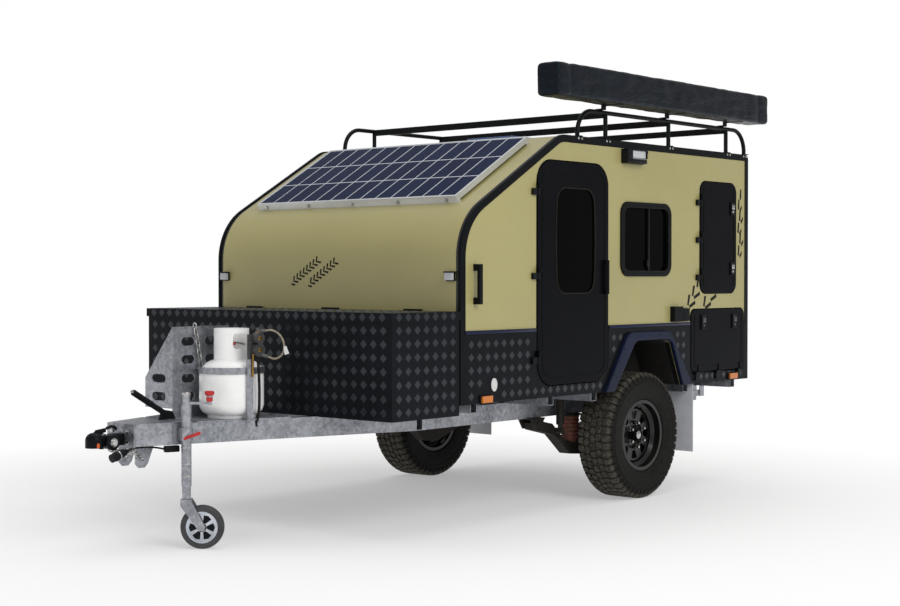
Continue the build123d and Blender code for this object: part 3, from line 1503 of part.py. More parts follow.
# Independent suspension: brackets under the rails, trailing arms, coil springs, dampers
arm_pivot = (1030.0, 455.0)
arm_width = 72.0
arm_x = 560.0
ear_thickness = 10.0
ear_gap = 2.0
pivot_pin_radius = 12.0
stub_radius = 20.0
axle_height = tyre_radius
wheel_centre_x = track_outer - tyre_width / 2
spring_aft = 1400.0
spring_seat_height = 332.0
spring_radius = 54.0
spring_wire = 7.0
spring_coils = 7
damper_x = 625.0
damper_aft = 1215.0
damper_eye_height = 406.0
damper_radius = 23.0
backing_plate_x = 700.0
backing_plate_radius = 128.0
backing_plate_thickness = 6.0
stub_end_x = 848.0
spring_seat_radius = 60.0
bracket_thickness = 8.0
spring_seat_sheet = 6.0
bracket_length = 130.0

with BuildPart() as suspension_brackets:
    for side in (1, -1):
        with BuildSketch(Plane.XY.offset(up(rail_bottom) - bracket_thickness)):
            with Locations((side * arm_x, aft(arm_pivot[0]))):
                Rectangle(arm_width + 2 * (ear_gap + ear_thickness), bracket_length)
            with Locations((side * arm_x, aft(spring_aft))):
                Rectangle(bracket_length, bracket_length)
        extrude(amount=bracket_thickness - seat_gap)
        for ear_side in (1, -1):
            ear_x = side * arm_x + ear_side * (arm_width / 2 + ear_gap + ear_thickness / 2)
            with BuildSketch(Plane.YZ.offset(ear_x - ear_thickness / 2)):
                with BuildLine():
                    Polyline(
                        (aft(arm_pivot[0] - 60), up(rail_bottom) - bracket_thickness),
                        (aft(arm_pivot[0] + 60), up(rail_bottom) - bracket_thickness),
                        (aft(arm_pivot[0] + 24), up(arm_pivot[1] - 28)),
                        (aft(arm_pivot[0] - 24), up(arm_pivot[1] - 28)),
                        close=True,
                    )
                make_face()
            extrude(amount=ear_thickness)
        pin_half = arm_width / 2 + ear_gap + ear_thickness + 8
        with BuildSketch(Plane.YZ.offset(side * arm_x - pin_half)):
            with Locations((aft(arm_pivot[0]), up(arm_pivot[1]))):
                Circle(pivot_pin_radius)
        extrude(amount=2 * pin_half)
    # the dampers stand from an eye on the arm's outer face up to the bearer above
    for side in (1, -1):
        with BuildSketch(Plane.XY.offset(up(damper_eye_height))):
            with Locations((side * damper_x, aft(damper_aft))):
                Circle(0.6 * damper_radius)
        extrude(amount=rail_top - damper_eye_height - seat_gap)
        with BuildSketch(Plane.XY.offset(up(damper_eye_height + 1.6 * damper_radius))):
            with Locations((side * damper_x, aft(damper_aft))):
                Circle(damper_radius)
        extrude(amount=rail_top - damper_eye_height - 1.6 * damper_radius - seat_gap)
        eye_start = arm_x + arm_width / 2 + seat_gap
        with BuildSketch(Plane.YZ.offset(side * eye_start)):
            with Locations(side_point((damper_aft, damper_eye_height))):
                Circle(0.75 * damper_radius)
        extrude(amount=side * (damper_x + 0.75 * damper_radius - eye_start))
save(suspension_brackets, "suspension_brackets")

arm_seat_height = spring_seat_height - spring_seat_sheet
# the arm's outline in aft and height: pivot end, spring seat, axle end, and back below
arm_outline = (
    (1002, 462), (1058, 472), (1180, 448), (1322, arm_seat_height), (1478, arm_seat_height),
    (1508, 384), (1610, 418), (1686, 412), (1694, 330), (1620, 308), (1460, 252), (1345, 262),
    (1200, 382), (1020, 422),
)
with BuildPart() as trailing_arms:
    with BuildSketch(Plane.YZ.offset(arm_x - arm_width / 2)):
        with BuildLine():
            Polyline(*[side_point(point) for point in arm_outline], close=True)
        make_face()
        with Locations(side_point(arm_pivot)):
            Circle(pivot_pin_radius + seat_gap, mode=Mode.SUBTRACT)
    extrude(amount=arm_width)
    with BuildSketch(Plane.XY.offset(up(arm_seat_height))):
        with Locations((arm_x, aft(spring_aft))):
            Circle(spring_seat_radius)
    extrude(amount=spring_seat_sheet)
    # columns: where it starts in X, where it ends, radius
    for start, end, radius in (
        (arm_x, backing_plate_x, 34.0),
        (backing_plate_x - backing_plate_thickness, backing_plate_x, backing_plate_radius),
        (backing_plate_x, stub_end_x, stub_radius),
    ):
        with BuildSketch(Plane.YZ.offset(start)):
            with Locations(side_point((axle_aft, axle_height))):
                Circle(radius)
        extrude(amount=end - start)
    mirror(about=Plane.YZ)
save(trailing_arms, "trailing_arms")

spring_length = rail_bottom - bracket_thickness - spring_seat_height - 2 * seat_gap
with BuildPart() as coil_springs:
    coil_pitch = (spring_length - 2 * spring_wire) / (spring_coils - 1)
    with BuildSketch(Plane(
        origin=(arm_x, aft(spring_aft), up(spring_seat_height) + seat_gap),
        x_dir=(1, 0, 0),
        z_dir=(0, -1, 0),
    )):
        with Locations((spring_radius - 1.5 * spring_wire, 0)):
            Rectangle(spring_wire, spring_length, align=(Align.MIN, Align.MIN))
        with Locations(*[
            (spring_radius - spring_wire, spring_wire + index * coil_pitch)
            for index in range(spring_coils)
        ]):
            Circle(spring_wire)
    revolve(axis=Axis((arm_x, aft(spring_aft), 0), (0, 0, 1)))
    mirror(about=Plane.YZ)
save(coil_springs, "coil_springs")

# Wheels: steel rims with a drum and a hub, and off-road tyres. Their sections are drawn
# from the wheel's centre plane, which is 0 along X, and from its axle
rim_half_width = 96.0
rim_flange_radius = 205.0
rim_seat_radius = 190.5
rim_well_radius = 166.0
rim_well_half = 40.0
rim_sheet = 5.0
disc_offset = 36.0
disc_sheet = 8.0
window_count = 8
window_inner_radius = 92.0
window_outer_radius = 140.0
window_inner_half = 13.0
window_outer_half = 29.0
hub_radius = 34.0
hub_inner = -95.0
hub_face = 60.0
hub_cap = 72.0
drum_radius = 122.0
drum_wall = 8.0
drum_depth = 66.0
bore_clearance = 0.1
wheel_plane = Plane(
    origin=(wheel_centre_x, aft(axle_aft), up(axle_height)), x_dir=(1, 0, 0), z_dir=(0, -1, 0)
)
wheel_axis = Axis((wheel_centre_x, aft(axle_aft), up(axle_height)), (1, 0, 0))


def face_plane(distance):
    """A plane across the axle, at a distance outwards from the wheel's centre plane."""
    return Plane(
        origin=(wheel_centre_x + distance, aft(axle_aft), up(axle_height)),
        x_dir=(0, 1, 0),
        z_dir=(1, 0, 0),
    )


with BuildPart() as rim_left:
    with BuildSketch(wheel_plane):
        with BuildLine():
            # half of the rim: well, bead seat and flange outside, then back inside
            Polyline(
                (0, rim_well_radius),
                (rim_well_half, rim_well_radius),
                (rim_well_half + 16, rim_seat_radius - 3),
                (rim_half_width - rim_sheet, rim_seat_radius),
                (rim_half_width - rim_sheet, rim_flange_radius),
                (rim_half_width, rim_flange_radius),
                (rim_half_width, rim_seat_radius - rim_sheet),
                (rim_well_half + 19, rim_seat_radius - 3 - rim_sheet),
                (rim_well_half + 3, rim_well_radius - rim_sheet),
                (0, rim_well_radius - rim_sheet),
                close=True,
            )
        make_face()
        mirror(about=Plane.YZ)
        with BuildLine():
            # the pressed disc: flat at the nuts, raised ring, foot on the rim's well
            Polyline(
                (disc_offset - 18, 0),
                (disc_offset - 18, hub_radius + 32),
                (disc_offset, hub_radius + 46),
                (disc_offset + 4, rim_well_radius - 16),
                (disc_offset - 12, rim_well_radius - rim_sheet + 1),
                (disc_offset - 12 - disc_sheet, rim_well_radius - rim_sheet + 1),
                (disc_offset + 4 - disc_sheet, rim_well_radius - 22),
                (disc_offset - disc_sheet, hub_radius + 50),
                (disc_offset - 18 - disc_sheet, hub_radius + 36),
                (disc_offset - 18 - disc_sheet, 0),
                close=True,
            )
        make_face()
        with BuildLine():
            # drum, hub and grease cap
            Polyline(
                (hub_inner, 0),
                (hub_inner, drum_radius),
                (hub_inner + drum_depth, drum_radius),
                (hub_inner + drum_depth + 6, drum_radius - 20),
                (hub_inner + drum_depth + 6, hub_radius + 12),
                (disc_offset - 26, hub_radius + 8),
                (disc_offset - 10, hub_radius),
                (hub_face, hub_radius),
                (hub_cap, hub_radius - 12),
                (hub_cap, 0),
                close=True,
            )
        make_face()
    revolve(axis=wheel_axis)
    with BuildSketch(face_plane(0)):
        # each window is narrow at the hub and wide at the rim
        with PolarLocations(0, window_count):
            Polygon(
                (window_inner_radius, -window_inner_half),
                (window_outer_radius - 8, -window_outer_half),
                (window_outer_radius, -window_outer_half + 10),
                (window_outer_radius, window_outer_half - 10),
                (window_outer_radius - 8, window_outer_half),
                (window_inner_radius, window_inner_half),
                align=None,
            )
    extrude(amount=rim_half_width, mode=Mode.SUBTRACT)
    with BuildSketch(face_plane(hub_inner)):
        Circle(drum_radius - drum_wall)
    extrude(amount=drum_depth - drum_wall, mode=Mode.SUBTRACT)
    with BuildSketch(face_plane(hub_inner)):
        Circle(stub_radius + bore_clearance)
    extrude(amount=hub_face - hub_inner - 1, mode=Mode.SUBTRACT)
save(rim_left, "rim_left")

with BuildPart() as rim_right:
    add(rim_left.part.mirror(Plane.YZ))
save(rim_right, "rim_right")

tyre_wall = 12.0
bulge_radius = 285.0
shoulder_half = tread_width / 2 + 6
bead_half = rim_half_width - rim_sheet - seat_gap
bead_radius = rim_seat_radius + seat_gap
bead_lip_radius = rim_flange_radius + seat_gap
lug_height = 12.0
lug_count = 26
lug_half_length = 33.0
lug_root = 3.0
lug_top = sqrt(tyre_radius**2 - lug_half_length**2)
base_radius = tyre_radius - lug_height
crown_inner_radius = base_radius - tyre_wall
shoulder_lug_start = 56.0
shoulder_lug_reach = 113.0
centre_lug_start = 5.0
centre_lug_end = 48.0
# half of the section from the crown down to the bead: X from the centre plane, radius
tyre_outer = (
    (0, base_radius), (tread_width / 2 - 4, base_radius), (shoulder_half, base_radius - 12),
    (tyre_width / 2 - 3, 316), (tyre_width / 2, bulge_radius), (tyre_width / 2 - 6, 246),
    (bead_half, bead_lip_radius), (bead_half, bead_radius), (0, bead_radius),
)
tyre_inner = (
    (0, crown_inner_radius), (shoulder_half - 2 * tyre_wall, crown_inner_radius),
    (tyre_width / 2 - 3 - tyre_wall, 312), (tyre_width / 2 - tyre_wall, bulge_radius),
    (bead_half - tyre_wall, bead_lip_radius), (bead_half - tyre_wall, bead_radius), (0, bead_radius),
)
# sections of the blocks: radius, X from the centre plane
shoulder_lug = (
    (base_radius - lug_root, shoulder_lug_start), (lug_top, shoulder_lug_start + 2),
    (lug_top, tread_width / 2 - 5), (lug_top - 9, shoulder_half + 2),
    (338, shoulder_lug_reach), (334, shoulder_half - 2),
)
centre_lug = (
    (base_radius - lug_root, centre_lug_start), (lug_top, centre_lug_start + 2),
    (lug_top, centre_lug_end - 2), (base_radius - lug_root, centre_lug_end),
)
# columns: section, which side of the centre plane, share of a pitch that the row is turned by
lug_rows = (
    (shoulder_lug, 1, 0.0), (centre_lug, 1, 0.45), (centre_lug, -1, 0.95), (shoulder_lug, -1, 0.5),
)
with BuildPart(face_plane(0)) as tyre_left:
    with BuildSketch(wheel_plane):
        with BuildLine():
            Polyline(*tyre_outer, close=True)
        make_face()
        with BuildLine():
            Polyline(*tyre_inner, close=True)
        make_face(mode=Mode.SUBTRACT)
        mirror(about=Plane.YZ)
    revolve(axis=wheel_axis)
    for section, side, phase in lug_rows:
        with BuildPart(mode=Mode.PRIVATE) as lug:
            with BuildSketch(Plane.YZ):
                with BuildLine():
                    Polyline(*[(radius, side * reach) for radius, reach in section], close=True)
                make_face()
            extrude(amount=lug_half_length, both=True)
        with PolarLocations(0, lug_count, start_angle=phase * 360 / lug_count):
            add(lug.part)
save(tyre_left, "tyre_left")

with BuildPart() as tyre_right:
    add(tyre_left.part.mirror(Plane.YZ))
save(tyre_right, "tyre_right")

# Mudflaps hang behind the wheels
flap_aft = 2188.0
flap_bottom = 225.0
flap_inner_x = 680.0
flap_width = 220.0
with BuildPart() as mudflaps:
    with BuildSketch(Plane.XZ.offset(-aft(flap_aft))):
        with Locations((flap_inner_x, up(flap_bottom)), (-flap_inner_x - flap_width, up(flap_bottom))):
            Rectangle(
                flap_width, cabin_bottom - seat_gap - flap_bottom, align=(Align.MIN, Align.MIN)
            )
    extrude(amount=-5)
save(mudflaps, "mudflaps")

# Corner stabilisers: channel legs that swing down from pivots under the rear bearer
leg_heel = 18.0
leg_foot_width = 90.0
leg_foot_depth = 60.0
leg_foot_corner = 8.0
leg_foot_thickness = 6.0
with BuildPart() as stabiliser_left:
    with BuildSketch(Plane.XY.offset(up(leg_pivot[1] - leg_depth / 2))):
        with Locations((leg_x, aft(leg_pivot[0] + leg_heel))):
            Rectangle(leg_width, leg_length, align=(Align.CENTER, Align.MAX))
    extrude(amount=leg_depth)
    with BuildSketch(Plane.XY.offset(up(leg_pivot[1] - leg_depth / 2 + leg_wall))):
        with Locations((leg_x, aft(leg_pivot[0] + leg_heel + 1))):
            Rectangle(leg_width - 2 * leg_wall, leg_length - leg_wall, align=(Align.CENTER, Align.MAX))
    extrude(amount=leg_depth, mode=Mode.SUBTRACT)
    with BuildSketch(Plane.XZ.offset(-aft(leg_pivot[0] + leg_heel - leg_length))):
        with Locations((leg_x, up(leg_pivot[1]))):
            RectangleRounded(leg_foot_width, leg_foot_depth, leg_foot_corner)
    extrude(amount=leg_foot_thickness)
    with BuildSketch(Plane.YZ.offset(leg_x - leg_width / 2)):
        with Locations(side_point(leg_pivot)):
            Circle(leg_pin_radius + pin_clearance)
    extrude(amount=leg_width, mode=Mode.SUBTRACT)
save(stabiliser_left, "stabiliser_left")

with BuildPart() as stabiliser_right:
    add(stabiliser_left.part.mirror(Plane.YZ))
save(stabiliser_right, "stabiliser_right")

# Lamps, markers and small fittings on the skin
front_lamp_x = 850.0
front_lamp_share = 0.3834
front_lamp_height = lid_top + front_lamp_share * (slope_foot_height - lid_top)
flood_front = 1410.0
flood_length = 190.0
flood_drop = 110.0
flood_bottom = cabin_roof - flood_drop
flood_height = 66.0
flood_depth = 44.0
with BuildPart() as white_lamps:
    for side in (1, -1):
        with BuildSketch(Plane.XY.offset(up(front_lamp_height - 19))):
            with Locations((side * front_lamp_x, aft(0))):
                Rectangle(46, 30, align=(Align.CENTER, Align.MAX))
        extrude(amount=38)
    with BuildSketch(Plane.YZ.offset(cabin_half_width)):
        with Locations((aft(flood_front), up(flood_bottom))):
            Rectangle(flood_length, flood_height, align=(Align.MIN, Align.MIN))
    extrude(amount=flood_depth)
    chamfer(white_lamps.edges().filter_by(Axis.Y).group_by(Axis.X)[-1].sort_by(Axis.Z)[0], 26)
save(white_lamps, "white_lamps")

# columns: aft of the front end, length, bottom above the sill, height
marker_table = ((149.0, 81.0, 4.0, 34.0), (2574.0, 88.0, 9.0, 34.0))
with BuildPart() as marker_lamps:
    for start, length, rise, height in marker_table:
        for side_start in (skin_x, -skin_x - 18):
            with BuildSketch(Plane.YZ.offset(side_start)):
                with Locations((aft(start), up(cabin_bottom + rise))):
                    Rectangle(length, height, align=(Align.MIN, Align.MIN))
            extrude(amount=18)
save(marker_lamps, "marker_lamps")

tail_lamp_x = 790.0
tail_lamp_rise = 219.0
tail_lamp_bottom = cabin_bottom + tail_lamp_rise
tail_lamp_width = 110.0
tail_lamp_height = 300.0
with BuildPart() as tail_lamps:
    with BuildSketch(Plane.XZ.offset(-aft(cabin_length))):
        with Locations((tail_lamp_x, up(tail_lamp_bottom)), (-tail_lamp_x, up(tail_lamp_bottom))):
            Rectangle(tail_lamp_width, tail_lamp_height, align=(Align.CENTER, Align.MIN))
    extrude(amount=-32)
    fillet(tail_lamps.edges().filter_by(Axis.Y), 14)
save(tail_lamps, "tail_lamps")

grab_aft = 110.0
grab_rise = 165.0
grab_length = 170.0
grab_bottom = belt_height + grab_rise
grab_top = grab_bottom + grab_length
grab_stand = 42.0
# columns: aft, length, bottom above the belt, height, how far proud
cover_table = ((1917.0, 92.0, 20.0, 90.0, 34.0), (2034.0, 68.0, 22.0, 76.0, 20.0))
with BuildPart() as side_fittings:
    for side_start, direction in ((cabin_half_width, 1), (-cabin_half_width, -1)):
        with BuildSketch(Plane.YZ.offset(side_start)):
            with Locations((aft(grab_aft), up(grab_bottom)), (aft(grab_aft), up(grab_top))):
                Rectangle(26, 34)
        extrude(amount=direction * grab_stand)
        with BuildSketch(Plane.YZ.offset(side_start + direction * (grab_stand - 16))):
            with Locations((aft(grab_aft), up((grab_bottom + grab_top) / 2))):
                Rectangle(26, grab_top - grab_bottom)
        extrude(amount=direction * 16)
    for start, length, rise, height, proud in cover_table:
        with BuildSketch(Plane.YZ.offset(cabin_half_width)):
            with Locations((aft(start), up(belt_height + rise))):
                Rectangle(length, height, align=(Align.MIN, Align.MIN))
        extrude(amount=proud)
save(side_fittings, "side_fittings")
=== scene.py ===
# Looks of an off-road camping trailer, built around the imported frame. Metres.
import math
import random

import bpy
from mathutils import Matrix, Vector


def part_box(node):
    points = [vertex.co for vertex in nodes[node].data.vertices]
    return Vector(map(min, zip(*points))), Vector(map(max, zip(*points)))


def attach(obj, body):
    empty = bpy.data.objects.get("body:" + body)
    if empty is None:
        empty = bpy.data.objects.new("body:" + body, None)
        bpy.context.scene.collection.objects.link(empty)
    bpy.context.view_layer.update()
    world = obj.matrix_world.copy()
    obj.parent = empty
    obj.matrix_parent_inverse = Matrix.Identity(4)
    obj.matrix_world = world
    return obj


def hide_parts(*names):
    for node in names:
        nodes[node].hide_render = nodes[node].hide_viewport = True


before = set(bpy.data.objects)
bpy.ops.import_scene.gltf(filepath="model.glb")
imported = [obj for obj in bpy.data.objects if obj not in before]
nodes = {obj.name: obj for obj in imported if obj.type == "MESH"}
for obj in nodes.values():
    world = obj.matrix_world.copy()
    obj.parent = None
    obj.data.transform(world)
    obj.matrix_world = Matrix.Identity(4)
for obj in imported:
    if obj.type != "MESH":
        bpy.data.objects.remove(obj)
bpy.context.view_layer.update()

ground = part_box("tyre_left")[0].z
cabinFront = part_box("side_wall_left")[0].y
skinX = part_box("side_wall_left")[1].x


def aft(distance):
    return cabinFront + distance


def up(height):
    return ground + height


def at(x, distance, height):
    return Vector((x, aft(distance), up(height)))


# Colours are written as they look, 0 to 255, and turned into light values here
def tint(red, green, blue):
    channels = []
    for channel in (red, green, blue):
        share = channel / 255
        channels.append(share / 12.92 if share <= 0.04045 else ((share + 0.055) / 1.055) ** 2.4)
    return (*channels, 1.0)


# Small steps of a material's node tree
def addNode(tree, kind, values=None, **settings):
    node = tree.nodes.new("ShaderNode" + kind)
    for key, value in settings.items():
        setattr(node, key, value)
    for socket, value in (values or {}).items():
        node.inputs[socket].default_value = value
    return node


def feed(tree, target, value):
    if hasattr(value, "links"):
        tree.links.new(value, target)
    else:
        target.default_value = value


def calc(tree, operation, *terms):
    node = addNode(tree, "Math", operation=operation)
    for index, term in enumerate(terms):
        feed(tree, node.inputs[index], term)
    return node.outputs[0]


def mixColour(tree, share, first, second):
    node = addNode(tree, "Mix", data_type="RGBA")
    feed(tree, node.inputs[0], share)
    feed(tree, node.inputs[6], first)
    feed(tree, node.inputs[7], second)
    return node.outputs[2]


def spread(tree, value, low, high, start=0.0, end=1.0):
    node = addNode(tree, "MapRange")
    for index, term in enumerate((value, start, end, low, high)):
        feed(tree, node.inputs[index], term)
    return node.outputs[0]


def noise(tree, place, scale, detail=3.0, rough=0.5):
    node = addNode(tree, "TexNoise", {"Scale": scale, "Detail": detail, "Roughness": rough})
    tree.links.new(place, node.inputs["Vector"])
    return node.outputs[0]


def relief(tree, height, depth, strength=1.0, under=None):
    node = addNode(tree, "Bump", {"Strength": strength, "Distance": depth})
    feed(tree, node.inputs["Height"], height)
    if under is not None:
        tree.links.new(under, node.inputs["Normal"])
    return node.outputs[0]


def axes(tree, place):
    node = addNode(tree, "SeparateXYZ")
    tree.links.new(place, node.inputs[0])
    return node.outputs


def stretched(tree, place, scale):
    node = addNode(tree, "Mapping", {"Scale": scale})
    tree.links.new(place, node.inputs["Vector"])
    return node.outputs[0]


def setShader(tree, shader, values):
    for socket, value in values.items():
        feed(tree, shader.inputs[socket], value)


def newMaterial(name):
    material = bpy.data.materials.new(name)
    material.use_nodes = True
    tree = material.node_tree
    tree.nodes.clear()
    output = addNode(tree, "OutputMaterial")
    shader = addNode(tree, "BsdfPrincipled")
    tree.links.new(shader.outputs[0], output.inputs["Surface"])
    place = addNode(tree, "TexCoord").outputs["Object"]
    return material, tree, shader, place


# One row for each plain finish: colour and its darker patches, gloss, grain and dirt.
# patch and grain are how many to the metre, depth is the grain's height in metres
# the blue tint on the reflections of the dark finishes is a painted reflection of sky
finishes = {
    "oliveSkin": dict(colour=(165, 157, 104), shade=(159, 151, 99), gloss=0.3, patch=1.4, grain=420,
                      depth=0.00006, coat=0.3, dust=0.08, dustTop=1.15),
    "oliveSide": dict(colour=(165, 157, 104), shade=(159, 151, 99), gloss=0.3, patch=1.4, grain=420,
                      depth=0.00006, coat=0.3, dust=0.08, dustTop=1.15, skinOnly=True),
    "mouldingBlack": dict(colour=(12, 13, 15), shade=(16, 17, 19), gloss=0.36, patch=3, grain=900,
                          shine=0.08, paintedSkyTint=0.8, depth=0.00012),
    "chequerBlack": dict(colour=(13, 14, 17), shade=(18, 19, 23), gloss=0.32, patch=4, grain=700,
                         shine=0.09, paintedSkyTint=0.8, depth=0.00012),
    # the raised lozenges are a touch lighter than the sheet under them: a painted highlight on their tops
    "chequerRaisedHighlight": dict(colour=(15, 16, 19), shade=(23, 25, 29), gloss=0.22, patch=9, grain=500,
                          shine=0.5, paintedSkyTint=0.8, depth=0.0001),
    "doorBlack": dict(colour=(10, 10, 13), shade=(13, 13, 17), gloss=0.26, patch=2, grain=500, shine=0.05,
                      paintedSkyTint=0.75, depth=0.0001),
    "flareBlack": dict(colour=(15, 21, 43), shade=(20, 27, 53), gloss=0.30, patch=3, grain=600,
                       shine=0.16, paintedSkyTint=0.7, depth=0.0001, dust=0.02, dustTop=1.0),
    "powderBlack": dict(colour=(10, 11, 12), shade=(16, 17, 18), gloss=0.38, patch=5, grain=1100,
                        shine=0.12, paintedSkyTint=0.8, depth=0.0002),
    "wheelBlack": dict(colour=(8, 8, 9), shade=(12, 12, 13), gloss=0.2, patch=6, grain=500, shine=0.3,
                       depth=0.0001, coat=0.1, dust=0.02, dustTop=0.8),
    "underBlack": dict(colour=(19, 19, 20), shade=(28, 27, 27), gloss=0.6, patch=7, grain=300, shine=0.2,
                       depth=0.0006, dust=0.06, dustTop=1.2),
    "anodised": dict(colour=(216, 218, 221), shade=(202, 204, 207), gloss=0.34, patch=4, grain=900,
                     depth=0.00008, metal=0.55),
    "brightSteel": dict(colour=(200, 200, 198), shade=(160, 159, 156), gloss=0.22, patch=30, grain=400,
                        depth=0.0001, metal=1.0),
    "brassMetal": dict(colour=(176, 138, 74), shade=(132, 100, 52), gloss=0.36, patch=40, grain=500,
                       depth=0.0002, metal=1.0),
    "bottleWhite": dict(colour=(247, 247, 246), shade=(239, 239, 238), gloss=0.3, patch=9, grain=260,
                        depth=0.0002, coat=0.3, dust=0.06, dustTop=0.85),
    "regulatorGrey": dict(colour=(92, 93, 94), shade=(70, 70, 71), gloss=0.45, patch=30, grain=800,
                          depth=0.0002, metal=0.6),
    "flapGrey": dict(colour=(200, 203, 210), shade=(184, 187, 194), gloss=0.5, patch=5, grain=500,
                     depth=0.0003, dust=0.25, dustTop=0.75),
    "springRed": dict(colour=(120, 34, 22), shade=(84, 34, 24), gloss=0.5, patch=30, grain=500,
                      depth=0.0004, dust=0.35, dustTop=1.2),
    "plasticBlack": dict(colour=(12, 12, 14), shade=(18, 18, 20), gloss=0.45, patch=8, grain=1200,
                         shine=0.15, paintedSkyTint=0.85, depth=0.0002),
    "plasticGrey": dict(colour=(96, 98, 101), shade=(84, 86, 89), gloss=0.45, patch=8, grain=1200,
                        depth=0.0002),
    "hubGrey": dict(colour=(206, 210, 218), shade=(180, 185, 194), gloss=0.25, patch=14, grain=900,
                    depth=0.0002, metal=0.8),
    "braidedHose": dict(colour=(150, 140, 120), shade=(112, 102, 86), gloss=0.5, patch=60, grain=900,
                        depth=0.0005),
    "greyRubber": dict(colour=(58, 58, 60), shade=(72, 72, 74), gloss=0.55, patch=12, grain=600,
                       shine=0.2, depth=0.0003),
    "trimNavy": dict(colour=(17, 23, 50), shade=(22, 29, 58), gloss=0.3, patch=6, grain=600, shine=0.2,
                     depth=0.0001),
    "signalRed": dict(colour=(198, 34, 30), shade=(172, 28, 26), gloss=0.36, patch=20, grain=900,
                      depth=0.0002),
    "signalOrange": dict(colour=(226, 98, 22), shade=(200, 84, 20), gloss=0.4, patch=20, grain=900,
                         depth=0.0002),
    "markBlack": dict(colour=(20, 20, 18), shade=(26, 25, 23), gloss=0.4, patch=6, grain=700, shine=0.1,
                      depth=0.00004),
    "plateWhite": dict(colour=(206, 207, 206), shade=(196, 197, 196), gloss=0.3, patch=6, grain=500,
                       depth=0.0001),
}


def plainFinish(name):
    look = finishes[name]
    material, tree, shader, place = newMaterial(name)
    patches = noise(tree, place, look["patch"], 4.0, 0.6)
    worn = spread(tree, patches, 0, 1, 0.35, 0.65)
    colour = mixColour(tree, worn, tint(*look["colour"]), tint(*look["shade"]))
    gloss = calc(tree, "ADD", spread(tree, patches, -0.05, 0.05, 0.3, 0.7), look["gloss"])
    if look.get("dust"):
        # road dust settles low down and in soft patches
        low = spread(tree, axes(tree, place)[2], look["dust"], 0.0, up(0.1), up(look["dustTop"]))
        soft = spread(tree, noise(tree, place, 11, 6.0, 0.7), 0.2, 1.4, 0.3, 0.7)
        share = calc(tree, "MULTIPLY", low, soft)
        colour = mixColour(tree, share, colour, tint(150, 138, 118))
        gloss = calc(tree, "ADD", gloss, share)
    if look.get("skinOnly"):
        # the wall's core and inner face are black
        reach = calc(tree, "ABSOLUTE", axes(tree, place)[0])
        colour = mixColour(tree, calc(tree, "LESS_THAN", reach, skinX - 0.002), colour, tint(14, 14, 15))
    # below 1 this tints the reflections blue: a painted reflection of sky, which the white lamps don't give
    paintedSkyTint = look.get("paintedSkyTint", 1.0)
    setShader(tree, shader, {
        "Base Color": colour,
        "Roughness": gloss,
        "Normal": relief(tree, noise(tree, place, look["grain"], 2.0, 0.5), look["depth"]),
        "Metallic": look.get("metal", 0.0),
        "Coat Weight": look.get("coat", 0.0),
        "Coat Roughness": 0.12,
        "Specular IOR Level": look.get("shine", 0.5),
        "Specular Tint": (paintedSkyTint, (1 + paintedSkyTint) / 2, 1, 1),
    })
    return material


materials = {name: plainFinish(name) for name in finishes}


# Hot-dip zinc: small crystals of different greys under a dull bloom, with darker runs down it
zincLook = {"crystals": 70, "bright": (186, 188, 194), "dull": (122, 125, 132), "runs": (104, 100, 92),
            "gloss": (0.28, 0.50)}


def makeGalvanised():
    material, tree, shader, place = newMaterial("galvanised")
    crystals = addNode(tree, "TexVoronoi", {"Scale": zincLook["crystals"], "Randomness": 1.0})
    tree.links.new(place, crystals.inputs["Vector"])
    tone = addNode(tree, "SeparateColor")
    tree.links.new(crystals.outputs["Color"], tone.inputs[0])
    clouds = spread(tree, noise(tree, place, 6, 5.0, 0.6), 0, 0.6, 0.3, 0.7)
    share = calc(tree, "ADD", calc(tree, "MULTIPLY", tone.outputs[0], 0.45), clouds)
    colour = mixColour(tree, share, tint(*zincLook["bright"]), tint(*zincLook["dull"]))
    runs = noise(tree, stretched(tree, place, (30, 30, 3)), 1, 4.0, 0.6)
    setShader(tree, shader, {
        "Base Color": mixColour(tree, spread(tree, runs, 0, 0.35, 0.55, 0.75), colour, tint(*zincLook["runs"])),
        "Roughness": spread(tree, tone.outputs[1], *zincLook["gloss"]),
        "Metallic": 0.85,
        "Normal": relief(tree, noise(tree, place, 260, 3.0), 0.0002),
    })
    return material


# Tyre rubber: dark walls, and brown road dust on the tread, out from the wheel's centre line
rubberLook = {"colour": (10, 10, 11), "worn": (18, 18, 19), "dust": (116, 111, 99), "tread": (0.338, 0.352)}


def makeRubber(name, dusty, centre=None):
    material, tree, shader, place = newMaterial(name)
    patches = noise(tree, place, 9, 5.0, 0.65)
    worn = spread(tree, patches, 0, 1, 0.35, 0.7)
    colour = mixColour(tree, worn, tint(*rubberLook["colour"]), tint(*rubberLook["worn"]))
    specks = spread(tree, noise(tree, place, 60, 6.0, 0.75), 0.2 * dusty, dusty, 0.4, 0.7)
    if centre:
        squares = []
        for axis in (1, 2):
            away = calc(tree, "SUBTRACT", axes(tree, place)[axis], centre[axis])
            squares.append(calc(tree, "MULTIPLY", away, away))
        far = calc(tree, "SQRT", calc(tree, "ADD", *squares))
        specks = calc(tree, "MULTIPLY", specks, spread(tree, far, 0.12, 1.0, *rubberLook["tread"]))
    setShader(tree, shader, {
        "Base Color": mixColour(tree, specks, colour, tint(*rubberLook["dust"])),
        "Roughness": spread(tree, patches, 0.52, 0.72),
        "Specular IOR Level": 0.1,
        "Normal": relief(tree, noise(tree, place, 500, 3.0), 0.0003),
    })
    return material


# Coated cloth of the awning bag: fine weave under a black vinyl skin
vinylLook = {"colour": (11, 12, 15), "worn": (17, 19, 24), "weave": 900}


